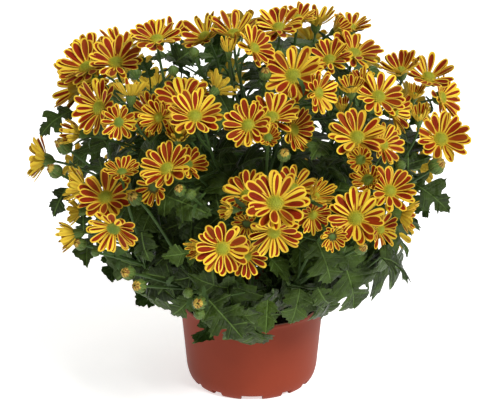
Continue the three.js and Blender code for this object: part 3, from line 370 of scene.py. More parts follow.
# Numbers of the materials in a piece.
PETAL, DISC, CALYX = 0, 1, 2
BUD_RAY, BUD_GREEN = 0, 1
BLADE, RIB = 0, 1
# The angles over which an edge is sharp: on the plants, the pot and the soil.
SHARP = 55 * DEGREE
POT_SHARP = 32 * DEGREE
SOIL_SHARP = 40 * DEGREE

# How finely the pot and the soil are divided, and the soil's lumps and crumbs.
POT_SIDES = 180
NOTCH_SLOPE = 0.15 * DEGREE
SOIL_SIDES = 90
SOIL_RINGS = 26
SOIL_LUMPS = 0.55
CRUMBS = 420
CRUMB_SIZE = (0.7, 2.4)


# ---- Chance: the same row of numbers as in the solids, and on from there ----

chance = 20771


def random(low, high):
    global chance
    chance = chance * 16807 % 2147483647
    return low + (high - low) * (chance / 2147483647)


# ---- Places ----

def part_way(low, high, share):
    return low + (high - low) * share


def unit(vector):
    return vector / math.sqrt(vector @ vector)


def polar(radius, turn, height):
    return np.array([radius * math.cos(turn), radius * math.sin(turn), height])


def distance(one, other):
    between = one - other
    return math.sqrt(between @ between)


def crown_axes(down):
    """The crown's half sizes: wide, deep, and down or up."""
    return np.array([CROWN_WIDE, CROWN_DEEP, CROWN_DOWN if down else CROWN_UP])


def sight_line(across, down):
    line = AHEAD + ABOVE * ((GRID_MIDDLE - down) / FOCAL)
    return unit(line + RIGHT * ((across - GRID_AXIS) / FOCAL))


def seen_at(point):
    """Where a point shows on the viewer's grid."""
    away = point - EYE
    ahead = away @ AHEAD
    return GRID_AXIS + FOCAL * away[0] / ahead, GRID_MIDDLE - FOCAL * (away @ ABOVE) / ahead


def on_egg(line, share, down):
    """Where a line of sight meets the crown's upper or lower egg, at a share of its size."""
    axes = crown_axes(down) * share
    start, step = (EYE - CROWN_MIDDLE) / axes, line / axes
    square, slope = step @ step, start @ step
    reach = slope * slope - square * (start @ start - 1)
    return EYE + line * ((-slope - math.sqrt(max(0, reach))) / square)


def crown_point(across, down, share):
    line = sight_line(across, down)
    point = on_egg(line, share, False)
    if point[2] < CROWN_MIDDLE[2]:
        point = on_egg(line, share, True)
    while point[2] < POT_HEIGHT + RIM_CLEARANCE and (
        math.hypot(point[0], point[1]) < RIM_RADIUS + RIM_CLEARANCE
    ):
        point = point - line
    return point


def outward(point):
    return unit((point - CROWN_MIDDLE) / crown_axes(point[2] < CROWN_MIDDLE[2]) ** 2)


# ---- Blooms ----

class Bloom:
    def __init__(self, middle, line, axis, radius, cup, spin, place=None, young=False):
        self.middle, self.line, self.axis, self.radius = middle, line, axis, radius
        self.cup, self.spin, self.place, self.young = cup, spin, place, young
        self.slid = 0

    def reach(self, direction):
        along = direction @ self.axis
        level = math.sqrt(max(0, 1 - along * along))
        return self.radius * math.hypot(level, along * BLOOM_FLATNESS)

    def slide(self, step):
        slid = min(SPREAD_LIMIT, max(-SPREAD_LIMIT / 2, self.slid + step))
        self.middle = self.middle + self.line * (slid - self.slid)
        self.slid = slid


def seen_bloom(across, down, wide, turn, lift, cup=OPEN_CUP, deeper=0, young=False):
    """A bloom by its place and width on the grid, turned to the viewer's right and lifted."""
    line = sight_line(across, down)
    middle = crown_point(across, down, 1) + line * deeper
    radius = wide / 2 * distance(middle, EYE) / FOCAL
    axis = polar(math.cos(lift * DEGREE), turn * DEGREE - TURN / 4, math.sin(lift * DEGREE))
    return Bloom(middle, line, axis, radius, cup * DEGREE, random(0, 1), (across, down), young)


def back_blooms():
    blooms = []
    for height, count, start, end in BACK_RINGS:
        half = crown_axes(height < CROWN_MIDDLE[2])[2]
        level = math.sqrt(1 - ((height - CROWN_MIDDLE[2]) / half) ** 2)
        for index in range(count):
            place = (index + 0.5 + random(-BACK_SCATTER, BACK_SCATTER)) / count
            turn = part_way(start, end, place) * DEGREE
            middle = polar(level, turn, height + random(*BACK_HEIGHT_SCATTER))
            middle[:2] *= CROWN_WIDE, BACK_DEEP
            axis = outward(middle)
            axis[2] += math.sin(BACK_BLOOM_LIFT) + random(*BACK_TILT)
            axis[0] += random(*BACK_TILT)
            blooms.append(Bloom(middle, -outward(middle), unit(axis), random(*BACK_BLOOM_RADIUS),
                                random(*BACK_CUP) * DEGREE, random(0, 1)))
    return blooms


def spread_blooms(blooms):
    """Slides blooms that overlap apart, each along its own line of sight."""
    for _ in range(SPREAD_ROUNDS):
        for first, one in enumerate(blooms):
            for other in blooms[first + 1:]:
                x, y, z = (other.middle - one.middle).tolist()
                far = math.sqrt(x * x + y * y + z * z)
                if far > one.radius + other.radius:
                    continue
                between = np.array([x, y, z]) / far
                overlap = one.reach(between) + other.reach(between) - far
                if overlap > 0:
                    deeper = 1 if between @ one.line > 0 else -1
                    one.slide(-deeper * overlap / 4)
                    other.slide(deeper * overlap / 4)


# ---- Shoots and stalks ----

class Curve:
    """A curve with one control point."""

    def __init__(self, start, bend, end):
        self.start, self.bend, self.end = start, bend, end

    def point(self, share):
        rest = 1 - share
        return self.start * rest * rest + self.bend * 2 * rest * share + self.end * share * share

    def tangent(self, share):
        return unit(self.point(min(1, share + 1e-4)) - self.point(max(0, share - 1e-4)))

    def points(self, count):
        return [self.point(index / count) for index in range(count + 1)]


def cutting_turn(number):
    return -TURN / 4 + number * TURN / CUTTINGS


def cutting_number(point):
    share = (math.atan2(point[1], point[0]) - cutting_turn(0)) / TURN
    return (math.floor(share * CUTTINGS + 0.5) + CUTTINGS) % CUTTINGS


def make_shoots():
    made = []
    for number in range(CUTTINGS):
        for index, (aside, lift) in enumerate(SHOOT_AIMS):
            rise = (index + 1) / len(SHOOT_AIMS)
            start = polar(part_way(CUTTING_CIRCLE, FORK_CIRCLE, rise), cutting_turn(number),
                          part_way(STEM_BEND, FORK_HEIGHT, rise))
            turn = cutting_turn(number) + (aside + random(*SHOOT_AIM_SCATTER)) * DEGREE
            way = polar(math.cos(lift * DEGREE), turn, math.sin(lift * DEGREE))
            end = CROWN_MIDDLE + crown_axes(lift < 0) * way * SHOOT_REACH
            made.append((number, Curve(start, (start + end) / 2 + UP * SHOOT_ARCH, end)))
    return made


class Fork:
    def __init__(self, number, point):
        self.number, self.point, self.taken = number, point, False


def nearest(choice, place):
    return min(choice, key=lambda fork: distance(fork.point, place))


def free_fork(place):
    number = cutting_number(place)
    return nearest([fork for fork in forks if fork.number == number and not fork.taken], place)


def add_stalk(owner, end):
    fork = free_fork(end - owner.axis * STALK_STRAIGHT)
    fork.taken = True
    owner.number = fork.number
    straight = min(STALK_STRAIGHT, distance(fork.point, end) / 2)
    owner.stalk = Curve(fork.point, end - owner.axis * straight, end)


class Bud:
    def __init__(self, across, down, wide):
        self.middle = crown_point(across, down, 1)
        self.axis = unit(outward(self.middle) + UP * BUD_LIFT)
        self.radius = wide / 2 * distance(self.middle, EYE) / FOCAL
        add_stalk(self, self.middle - self.axis * self.radius * BUD_LENGTH_SHARE)


# ---- Leaves ----

class Leaf:
    """A blade from base to tip, its upper side outwards and up, rolled about its midrib."""

    def __init__(self, base, tip, roll, plain, root):
        along = unit(tip - base)
        normal = outward((base + tip) / 2) + UP * LEAF_LIFT
        normal = unit(normal - along * (normal @ along))
        turn = roll * DEGREE
        normal = normal * math.cos(turn) + np.cross(along, normal) * math.sin(turn)
        self.base, self.tip, self.normal, self.plain, self.root = base, tip, normal, plain, root
        self.across = unit(np.cross(along, normal))
        self.length = distance(base, tip)
        self.number = root.number

    def samples(self):
        points = []
        for share, out in LEAF_SAMPLES:
            rise = LEAF_ARCH * 4 * share * (1 - share) + LEAF_FOLD * abs(out)
            points.append(part_way(self.base, self.tip, share)
                          + (self.across * out + self.normal * rise) * self.length)
        return np.array(points)


def clearance(leaf):
    samples = leaf.samples()
    between = samples[:, None] - bloom_middles
    far = np.sqrt((between ** 2).sum(-1))
    along = (between * bloom_axes).sum(-1) / far
    level = np.sqrt(np.maximum(0, 1 - along ** 2))
    least = (far - bloom_radii * np.hypot(level, along * BLOOM_FLATNESS)).min()
    for points, keep in ((stalk_points, STALK_CLEARANCE), (leaf_points, LEAF_CLEARANCE)):
        if len(points):
            between = samples[:, None] - np.array(points)
            least = min(least, np.sqrt((between ** 2).sum(-1)).min() - keep)
    return least


def clearest_leaf(tries):
    scores = [clearance(leaf) for leaf in tries]
    leaf = tries[scores.index(max(scores))]
    leaf.root.taken = True
    leaf_points.extend(leaf.samples())
    return leaf


def grid_leaf(row, depths, plain, root_of):
    """A leaf by its base and tip on the grid, tried at pairs of shares of the crown's size."""
    from_across, from_down, to_across, to_down, roll = row
    tries = []
    for base_share, tip_share in depths:
        base = crown_point(from_across, from_down, base_share)
        tip = crown_point(to_across, to_down, tip_share)
        tries.append(Leaf(base, tip, roll, plain, root_of(base)))
    return clearest_leaf(tries)


def front_leaves():
    leaves = []
    for row in FRONT_LEAVES:
        plain = math.hypot(row[2] - row[0], row[3] - row[1]) < PLAIN_LEAF
        leaves.append(grid_leaf(row, LEAF_DEPTHS, plain, free_fork))
    return leaves


def shade_leaves():
    leaves = []
    for row in SHADE_LEAVES:
        depths = [(share, share) for share in row[5:] or SHADE_DEPTHS]
        leaves.append(grid_leaf(row[:5], depths, False, lambda base: nearest(forks, base)))
    return leaves


def skirt_leaves():
    leaves = []
    for number in range(SKIRT_LEAVES):
        tries = []
        for _ in range(LEAF_TRIES):
            place = (number + 0.5 + random(-SKIRT_SCATTER, SKIRT_SCATTER)) / SKIRT_LEAVES
            turn = part_way(SKIRT_START, SKIRT_END, place)
            base = polar(random(*SKIRT_BASE_RADIUS), turn, random(*SKIRT_BASE_HEIGHT))
            turn += random(*SKIRT_TIP_TURN)
            tip = polar(random(*SKIRT_TIP_RADIUS), turn, random(*SKIRT_TIP_HEIGHT))
            tries.append(Leaf(base, tip, random(*SKIRT_ROLL), True, free_fork(base)))
        leaves.append(clearest_leaf(tries))
    return leaves


def shoot_leaf(number, curve, places, lengths):
    tries = []
    for attempt in range(LEAF_TRIES):
        share = random(*places)
        root = Fork(number, curve.point(share))
        way = curve.tangent(share)
        aside = unit(np.cross(way, UP)) * (1 if attempt % 2 else -1)
        turn = random(*SHOOT_LEAF_TURN)
        way = way * math.cos(turn) + aside * math.sin(turn)
        way[2] -= random(*SHOOT_LEAF_DROOP)
        base = root.point + unit(way) * PETIOLE_LENGTH
        tip = base + unit(way) * random(*lengths)
        tries.append(Leaf(base, tip, random(*SHOOT_LEAF_ROLL), True, root))
    return clearest_leaf(tries)


def shoot_leaves():
    return [shoot_leaf(*shoot, SHOOT_LEAF_PLACE, SHOOT_LEAF_LENGTH)
            for index, shoot in enumerate(shoots) if index % BARE_SHOOT]


def inner_leaves():
    return [shoot_leaf(*shoot, INNER_LEAF_PLACE, INNER_LEAF_LENGTH)
            for shoot in shoots * INNER_LEAVES]


def crown_leaves():
    leaves = []
    for index in range(CROWN_LEAVES):
        rise = part_way(*CROWN_LEAF_RISE, (index + 0.5) / CROWN_LEAVES)
        turn = index * GOLDEN_TURN
        way = crown_axes(rise < 0) * polar(math.sqrt(1 - rise * rise), turn, rise)
        aside = polar(1, turn + TURN / 4, 0)
        tries = []
        for _ in range(LEAF_TRIES):
            tip = CROWN_MIDDLE + way * random(*CROWN_LEAF_TIP)
            along = unit(outward(tip) * random(*CROWN_LEAF_OUT) + aside * random(-1, 1)
                         + UP * random(*CROWN_LEAF_UP))
            base = tip - along * random(*CROWN_LEAF_LENGTH)
            base[2] = max(base[2], CROWN_LEAF_LOWEST)
            root = nearest(forks, base)
            tries.append(Leaf(base, tip, random(*CROWN_LEAF_ROLL), True, root))
        leaves.append(clearest_leaf(tries))
    return leaves


def ends_in_bare_round(leaf):
    across, down = seen_at(leaf.tip)
    return any(math.hypot(across - x, down - y) < radius for x, y, radius in BARE_ROUNDS)


# ---- The layout, in the order of its draws ----

shoots = make_shoots()
forks = [
    Fork(number, point) for number, curve in shoots for point in curve.points(FORKS)[FIRST_FORK:]
]
open_blooms = [seen_bloom(*row) for row in FRONT_BLOOMS] + back_blooms()
young_blooms = [seen_bloom(*row, young=True) for row in YOUNG_BLOOMS]
all_blooms = open_blooms + young_blooms
spread_blooms(all_blooms)
open_blooms.sort(key=lambda bloom: -bloom.radius)
own_blooms = open_blooms[:BLOOM_NODES]
grown_blooms = open_blooms[BLOOM_NODES:] + young_blooms
for blooms, depth in ((own_blooms, CALYX_DEPTH + GAP), (grown_blooms, CALYX_DEPTH)):
    for bloom in blooms:
        add_stalk(bloom, bloom.middle - bloom.axis * depth)
buds = [Bud(*row) for row in BUDS]
bloom_middles = np.array([bloom.middle for bloom in all_blooms])
bloom_axes = np.array([bloom.axis for bloom in all_blooms])
bloom_radii = np.array([bloom.radius for bloom in all_blooms])
stalk_points = [
    point for owner in own_blooms + buds + grown_blooms for point in owner.stalk.points(5)
]
leaf_points = []
outer_leaves = front_leaves() + skirt_leaves() + shoot_leaves()
added_leaves = inner_leaves() + crown_leaves() + shade_leaves()
leaves = outer_leaves + [leaf for leaf in added_leaves if not ends_in_bare_round(leaf)]


# ---- Meshes ----

def show(name, data):
    thing = bpy.data.objects.new(name, data)
    bpy.context.scene.collection.objects.link(thing)
    return thing


class Net:
    """One mesh as it grows. The materials read its `blade`, three values a point, such as the place
    across and along a petal, and its `upper`, one value a face."""

    def __init__(self):
        self.points, self.blade, self.faces, self.looks, self.upper = [], [], [], [], []
        self.count = 0

    def add(self, points, blade, faces, look, upper=0.0):
        points = np.asarray(points, dtype=float).reshape(-1, 3)
        self.points.append(points)
        self.blade.append(np.broadcast_to(np.asarray(blade, dtype=float), points.shape))
        self.faces += [[self.count + point for point in face] for face in faces]
        self.looks += [look] * len(faces)
        self.upper += list(np.broadcast_to(upper, len(faces)))
        self.count += len(points)

    def make(self, name, materials, node, sharp=SHARP):
        mesh = bpy.data.meshes.new(name)
        mesh.from_pydata((np.concatenate(self.points) * MM).tolist(), [], self.faces)
        for material in materials:
            mesh.materials.append(material)
        mesh.polygons.foreach_set("material_index", self.looks)
        mesh.polygons.foreach_set("use_smooth", [True] * len(self.faces))
        blade = mesh.attributes.new("blade", "FLOAT_VECTOR", "POINT")
        blade.data.foreach_set("vector", np.concatenate(self.blade).ravel())
        mesh.attributes.new("upper", "FLOAT", "FACE").data.foreach_set("value", self.upper)
        mesh.set_sharp_from_angle(angle=sharp)
        mesh.update()
        piece = show(name, mesh)
        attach(piece, "root")
        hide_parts(node)


class Spot:
    """A place on the plant with three axes of its own."""

    def __init__(self, middle, axis):
        side = np.cross(UP, axis)
        self.middle, self.axis = middle, axis
        self.side = unit(side) if side @ side > UPRIGHT else RIGHT
        self.over = np.cross(axis, self.side)

    def out(self, turn):
        return self.side * np.cos(turn) + self.over * np.sin(turn)

    def aside(self, turn):
        return self.over * np.cos(turn) - self.side * np.sin(turn)


def circle(sides):
    return np.arange(sides)[:, None] / sides * TURN


def quads(grid):
    """The faces between the points of a grid of points' numbers."""
    corners = grid[:-1, :-1], grid[:-1, 1:], grid[1:, 1:], grid[1:, :-1]
    return np.stack(corners, -1).reshape(-1, 4).tolist()


@functools.cache
def lens_faces(rows, columns):
    """The faces of a closed lens: a grid of points above, and one below that shares its edge. Gives
    those above, those below and the numbers of the inner points."""
    above = np.arange(rows * columns).reshape(rows, columns)
    inner = above[1:-1, 1:-1].ravel()
    below = above.copy()
    below[1:-1, 1:-1] = rows * columns + np.arange(len(inner)).reshape(rows - 2, columns - 2)
    return quads(above), [face[::-1] for face in quads(below)], inner


def add_lens(net, middles, normals, thickness, blade, look, tone=0.0):
    """Adds a thin closed blade round a grid of middle points. Its faces hold its tone, below 1, and
    the upper ones 1 more."""
    above, below, inner = lens_faces(*middles.shape[:2])
    half = np.zeros((*middles.shape[:2], 1))
    half[1:-1, 1:-1, 0] = thickness / 2
    top = (middles + normals * half).reshape(-1, 3)
    bottom = (middles - normals * half).reshape(-1, 3)[inner]
    blade = blade.reshape(-1, 3)
    net.add(np.concatenate([top, bottom]), np.concatenate([blade, blade[inner]]), above + below,
            look, [tone + 1.0] * len(above) + [tone] * len(below))


def add_rings(net, rings, blade, look):
    """Joins rings of points, each with as many, into a skin that is closed at both ends."""
    grid = np.arange(len(rings) * len(rings[0])).reshape(len(rings), -1)
    faces = quads(np.hstack([grid, grid[:, :1]]))
    faces += [grid[0, ::-1].tolist(), grid[-1].tolist()]
    net.add(np.concatenate(rings), blade, faces, look)


def add_tube(net, points, radii, sides, look, tone):
    """A tube through points, without twist."""
    rings, blade = [], []
    across = ANY_WAY
    turns = circle(sides)
    for index, point in enumerate(points):
        before = points[max(0, index - 1)]
        after = points[min(len(points) - 1, index + 1)]
        ahead = unit(after - before)
        across = unit(across - ahead * (across @ ahead))
        around = across * np.cos(turns) + np.cross(ahead, across) * np.sin(turns)
        rings.append(point + radii[index] * around)
        blade += [(0.0, index / (len(points) - 1), tone)] * sides
    add_rings(net, rings, blade, look)


def add_turned(net, spot, profile, sides, look, blade):
    """A closed form turned about an axis, from (radius, height) pairs."""
    around = spot.out(circle(sides))
    rings = [spot.middle + around * radius + spot.axis * height for radius, height in profile]
    add_rings(net, rings, blade, look)


def add_ray(net, spot, turn, curve, width, form, look, tone, channel=RAY_CHANNEL, roll=0.0,
            curl=0.0):
    """One ray or scale. Its midline is a curve of one control point in the plane through the axis,
    given as (out, up) pairs. `channel` lifts its edges, `roll` twists it and `curl` rolls it in."""
    rows, columns, widths = form
    out, aside, axis = spot.out(turn), spot.aside(turn), spot.axis
    start, bend, end = np.array(curve, dtype=float)
    share = rows[:, None]
    line = start * (1 - share) ** 2 + bend * 2 * share * (1 - share) + end * share ** 2
    way = part_way(bend - start, end - bend, share)
    way /= np.hypot(way[:, :1], way[:, 1:])
    centre = spot.middle + out * line[:, :1] + axis * line[:, 1:]
    normal = axis * way[:, :1] - out * way[:, 1:]
    turned = roll * share
    level = aside * np.cos(turned) + normal * np.sin(turned)
    upright = normal * np.cos(turned) - aside * np.sin(turned)
    half = width * widths[:, None] * (1 - CURL_NARROWS * curl)
    lift = half * (channel * (1.3 - share) + curl) * columns ** 2
    points = centre[:, None] + level[:, None] * (half * columns)[..., None]
    points = points + upright[:, None] * lift[..., None]
    normals = np.broadcast_to(upright[:, None], points.shape)
    blade = np.stack(np.broadcast_arrays(columns, share, tone), -1)
    thick = RAY_THICKNESS * (1 - 0.6 * columns[1:-1] ** 2) * np.ones((len(rows) - 2, 1))
    add_lens(net, points, normals, thick, blade, look)


# ---- Blooms and buds ----

def add_bloom(net, bloom):
    spot = Spot(bloom.middle, bloom.axis)
    radius, cup = bloom.radius, bloom.cup
    hollow = bloom.place in HOLLOW_DISCS
    green = bloom.young or bloom.place in GREEN_DISCS
    disc = radius * (YOUNG_DISC_SHARE if bloom.young or hollow else DISC_SHARE)
    widest = radius * (YOUNG_PETAL_WIDTH if bloom.young else PETAL_WIDTH)
    half_open = float(np.interp(cup, HALF_OPEN_CUP, (0, 1)))
    whorls = YOUNG_WHORLS if bloom.young else WHORLS[radius > LARGE_BLOOM]
    for whorl, count in enumerate(whorls):
        for index in range(count):
            apart = TURN / count
            length = random(*PETAL_LENGTH)
            turn = (0.5 + bloom.spin + whorl / 2 + index + random(*PETAL_ASIDE)) * apart
            tone = random(0, 1)
            roll = random(*PETAL_ROLL)
            curl = max(0, random(*PETAL_CURL))
            width = widest * random(*PETAL_WIDTH_SCATTER)
            sway = random(-1, 1)
            if whorl == CURLED_WHORL:
                turn = TURN * 3 / 4 + (index - (count - 1) / 2 + random(-0.4, 0.4)) * 0.5
                end = (disc + radius * random(0.16, 0.3), disc * random(0.3, 0.8))
                curve = (disc * 0.85, 0.5), (disc * 1.25, -0.5), end
                add_ray(net, spot, turn, curve, width * 0.6, PETAL_FORM, PETAL, tone, channel=0.5,
                        roll=roll, curl=0.5)
                continue
            reach = radius * (INNER_PETAL_SHARE if whorl else 1) * length
            angle = cup + (whorl - 0.5) * WHORL_STEP + sway * PETAL_SWAY
            end = np.array([reach, reach * math.tan(angle)])
            start = np.array([disc * 0.7, -1.2 + whorl * 1.2 + disc * 0.5 * math.tan(cup)])
            chord = end - start
            bulge = 0.1 - 0.28 * half_open + sway * 0.05
            bend = start + chord * 0.45 + np.array([-chord[1], chord[0]]) * bulge
            add_ray(net, spot, turn, (start, bend, end), width * (0.88 if whorl else 1),
                    PETAL_FORM, PETAL, tone, roll=roll, curl=curl * 0.5)
    add_disc(net, spot, bloom, disc, hollow, green)
    add_calyx(net, spot, bloom, disc)


def floret_faces():
    """The faces of a ring on a ring with a tip above them, closed below."""
    low = list(range(FLORET_SIDES))
    high = list(range(FLORET_SIDES, 2 * FLORET_SIDES))
    walls = quads(np.array([low + low[:1], high + high[:1]]))
    tips = [[one, other, 2 * FLORET_SIDES] for one, other in zip(high, high[1:] + high[:1])]
    return walls + tips + [low[::-1]]


def add_disc(net, spot, bloom, disc, hollow, green):
    """A dome of florets in the spiral that they grow in. On a young bloom they are closed."""
    edge = disc * math.tan(bloom.cup) * 0.7 + 0.4
    rise = HOLLOW_RISE if hollow else GREEN_RISE if green else DISC_RISE
    # A tone of 2 gives a hollow disc the painted shade of its hollow.
    tone = 2.0 if hollow else float(green)
    profile = [(disc * out, edge + up) for out, up in (
        (0.5, -4), (1, -2), (1, 0), (0.8, rise * 0.36), (0.5, rise * 0.75), (0.15, rise),
    )]
    add_turned(net, spot, profile, 14, DISC, (0.5, 0, tone))
    count = YOUNG_FLORETS if bloom.young else FLORETS
    spacing = disc * math.sqrt(math.pi / count) * 0.62
    across, along = np.cos(circle(FLORET_SIDES)), np.sin(circle(FLORET_SIDES))
    faces = floret_faces()
    for index in range(count):
        share = math.sqrt((index + 0.5) / count)
        turn = index * GOLDEN_TURN
        out, aside = spot.out(turn), spot.aside(turn)
        up = unit(spot.axis + out * (rise * 1.6 * share / disc))
        level = np.cross(aside, up)
        foot = (spot.middle + out * share * disc
                + spot.axis * (edge + rise * (1 - share ** 2) - 0.4))
        tall = spacing * random(1.0, 1.5) * (1.25 if share > 0.7 else 1)
        wide = spacing * (1.0 if share > 0.6 else 0.85)
        star = wide * (across * level + along * aside)
        top = foot + up * (tall * (0.75 if share > 0.6 else 1.35))
        net.add(np.vstack([foot + star * 0.8, foot + up * tall + star, top]),
                (share, random(0, 1), tone), faces, DISC)


def add_scales(net, spot, count, turned, curve, width, look):
    """A ring of scales, each a little out of its place."""
    for index in range(count):
        turn = (index + turned + random(*SCALE_ASIDE)) / count * TURN
        add_ray(net, spot, turn, curve, width, SCALE_FORM, look, random(0, 1), channel=0.1)


def add_calyx(net, spot, bloom, disc):
    """A green cup below the rays, with two rings of scales."""
    wide = disc * (1.0 if bloom.young else 1.08)
    depth = LARGE_CALYX if bloom.radius > SMALL_BLOOM else SMALL_CALYX
    lift = disc * 0.6 * math.tan(bloom.cup)
    profile = [(1.0, -depth - 1.5), (1.9, -depth - 0.4), (wide * 0.6, -depth + 0.6),
               (wide * 0.9, -depth * 0.5), (wide * 0.98, lift - 1.2), (wide * 0.7, lift + 0.2)]
    add_turned(net, spot, profile, 12, CALYX, (0, 0.5, random(0, 1)))
    for ring, (low, high) in enumerate(((-depth * 0.9, -depth * 0.1), (-depth * 0.5, 1.2))):
        curve = ((wide * (0.68 + 0.26 * ring), low),
                 (wide * (1.12 + 0.02 * ring), (low + high) / 2 + lift * 0.5),
                 (wide * (1.07 + 0.03 * ring), high + lift))
        add_scales(net, spot, CALYX_SCALES, ring * 0.5, curve, wide * 0.26, CALYX)


def add_bud(net, bud):
    """A round bud: scales below, and on a large one the closed rays that show at its top."""
    spot = Spot(bud.middle, bud.axis)
    r = bud.radius
    add_turned(net, spot, [(out * r, up * r) for out, up in BUD_PROFILE], 12, BUD_GREEN,
               (0, 0.5, 0.4))
    for count, low, high, foot, out, end in BUD_SCALES:
        curve = ((r * foot, r * low), (r * out * 1.2, r * (low * 0.6 + high * 0.3)),
                 (r * end, r * high))
        add_scales(net, spot, count, out, curve, r * 0.32, BUD_GREEN)
    if r < OPENING_BUD:
        return
    for count, reach, high in BUD_RAYS:
        for index in range(count):
            turn = (index + reach + random(-0.25, 0.25)) / count * TURN
            curve = ((r * 0.72 * reach, 0.2 * r), (r * reach * 0.92, r * 0.9),
                     (r * random(0.05, 0.4), r * high * random(0.9, 1.12)))
            add_ray(net, spot, turn, curve, r * random(0.17, 0.26), PETAL_FORM, BUD_RAY,
                    random(0, 1), channel=0.4, roll=random(-0.3, 0.3))


# ---- Leaf blades and wood ----

def rounded(edge):
    """The same edge with a point between each two, on a smooth line through them."""
    ends = np.vstack([edge[:1], edge, edge[-1:]])
    between = (ends[1:-2] + ends[2:-1]) * 0.5625 - (ends[:-3] + ends[3:]) * 0.0625
    fine = np.zeros((len(edge) * 2 - 1, edge.shape[1]))
    fine[::2], fine[1::2] = edge, between
    return fine


def add_leaf(net, leaf):
    edge, veins = (PLAIN_EDGE, PLAIN_VEINS) if leaf.plain else (LOBED_EDGE, LOBED_VEINS)
    fine = rounded if leaf in outer_leaves else np.array
    columns = LEAF_COLUMNS
    out = np.abs(columns)
    sides = []
    for _ in range(2):
        uneven = np.array([[random(*EDGE_ALONG), random(*EDGE_OUT)] for _ in edge])
        sides.append(fine(edge[:, :2] * (1 + uneven * (edge[:, 1:2] > PETIOLE_EDGE))))
    edge = fine(edge)
    left = columns[None] < 0
    along = part_way(edge[:, 2:3], np.where(left, sides[0][:, :1], sides[1][:, :1]), out)
    across = np.where(left, sides[0][:, 1:], sides[1][:, 1:]) * columns
    vein = np.repeat(edge[:, 3:4], len(columns), 1)
    wave, droop, phase = random(*LEAF_WAVE), random(*LEAF_DROOP), random(0, TURN)
    main = np.interp(vein, *veins)
    lifts = [np.interp(main[:, :1], (1, 2, 3), [random(-LOBE_LIFT, LOBE_LIFT) for _ in range(3)])
             for _ in range(2)]
    between = np.abs(vein - np.round(vein)) * 2
    gap = np.abs(main - np.round(main)) * 2
    rise = (LEAF_ARCH * 4 * along * (1 - along)
            + LEAF_FOLD * np.abs(across) - random(*LEAF_CURL) * across ** 2
            + (LEAF_QUILT * between + LOBE_QUILT * gap) * out * (1.3 - out)
            + np.where(left, *lifts) * across ** 2
            + wave * np.sin(along * LEAF_WAVE_TURN + phase) * np.sign(across) * out
            - droop * along ** 3)
    size = leaf.length
    points = (part_way(leaf.base, leaf.tip, along[..., None])
              + leaf.across * (across * size)[..., None] + leaf.normal * (rise * size)[..., None])
    # The grid runs from the left edge to the right, so its upper side faces the leaf's normal.
    blade = np.stack([across * size, vein, main], -1)
    normals = np.broadcast_to(leaf.normal, points.shape)
    thick = LEAF_THICKNESS * (1.1 - out[1:-1] * 0.5) * np.ones((len(edge) - 2, 1))
    add_lens(net, points, normals, thick, blade, BLADE, random(0, LEAF_TONE))
    rib = points[::len(edge) // 10, len(columns) // 2] - leaf.normal * RIB_DEPTH
    start = leaf.root.point
    hang = (start + leaf.base) / 2 + leaf.normal * distance(start, leaf.base) * 0.08
    petiole = Curve(start, hang, leaf.base).points(4)[:-1]
    radii = [*np.linspace(*PETIOLE_RADII, len(petiole)), *np.linspace(*RIB_RADII, len(rib))]
    add_tube(net, [*petiole, *rib], radii, 5, RIB, 0.7)


def add_stalk_bract(net, stalk):
    share = random(*STALK_BRACT_PLACE)
    spot = Spot(stalk.point(share), stalk.tangent(share))
    length = random(*STALK_BRACT_LENGTH)
    curve = ((STALK_RADIUS * 0.6, 0), (length * 0.35, length * random(0.4, 0.6)),
             (length * random(0.7, 1.0), length * random(0.1, 0.7)))
    add_ray(net, spot, random(0, TURN), curve, length * 0.16, STALK_BRACT_FORM, 0, 0.8,
            channel=0.35, roll=random(-0.4, 0.4))


def add_wood(net, number):
    """The stem, its shoots and all the stalks of one cutting."""
    turn = cutting_turn(number)
    foot = polar(CUTTING_CIRCLE, turn, STEM_FOOT)
    bend = polar(CUTTING_CIRCLE, turn, STEM_BEND)
    fork = polar(FORK_CIRCLE, turn, FORK_HEIGHT)
    line = [part_way(foot, bend, share) for share in (0, 0.3, 0.6, 0.85)]
    line += Curve(part_way(foot, bend, 0.9), bend, fork).points(6)[1:]
    radii = [STEM_RADIUS] * 3 + list(np.linspace(STEM_RADIUS, STEM_RADIUS * 0.65, 7))
    radii[2] *= 1.06
    add_tube(net, line, radii, 12, 0, 0.0)
    for owner, curve in shoots:
        if owner == number:
            radii = np.linspace(SHOOT_RADIUS, SHOOT_END_RADIUS * 0.8, 13)
            add_tube(net, curve.points(12), radii, 8, 0, 0.35)
    for owner in own_blooms + grown_blooms + buds:
        if owner.number == number:
            radii = [STALK_ROOT_RADIUS, 1.0] + [STALK_RADIUS] * 8
            add_tube(net, owner.stalk.points(9), radii, 6, 0, 0.6)
            for _ in range(int(random(*STALK_BRACTS))):
                add_stalk_bract(net, owner.stalk)


# ---- Pot ----

def in_notch(turn):
    quarter = abs((turn + TURN / 8) % (TURN / 4) - TURN / 8)
    return quarter < WIDE_NOTCH / 2 or abs(quarter - NARROW_NOTCH_TURN) < NARROW_NOTCH / 2


def wall_radius(height):
    share = (height - BELLY_HEIGHT) / (POT_HEIGHT - BELLY_HEIGHT)
    return part_way(BELLY_RADIUS, RIM_RADIUS, share)


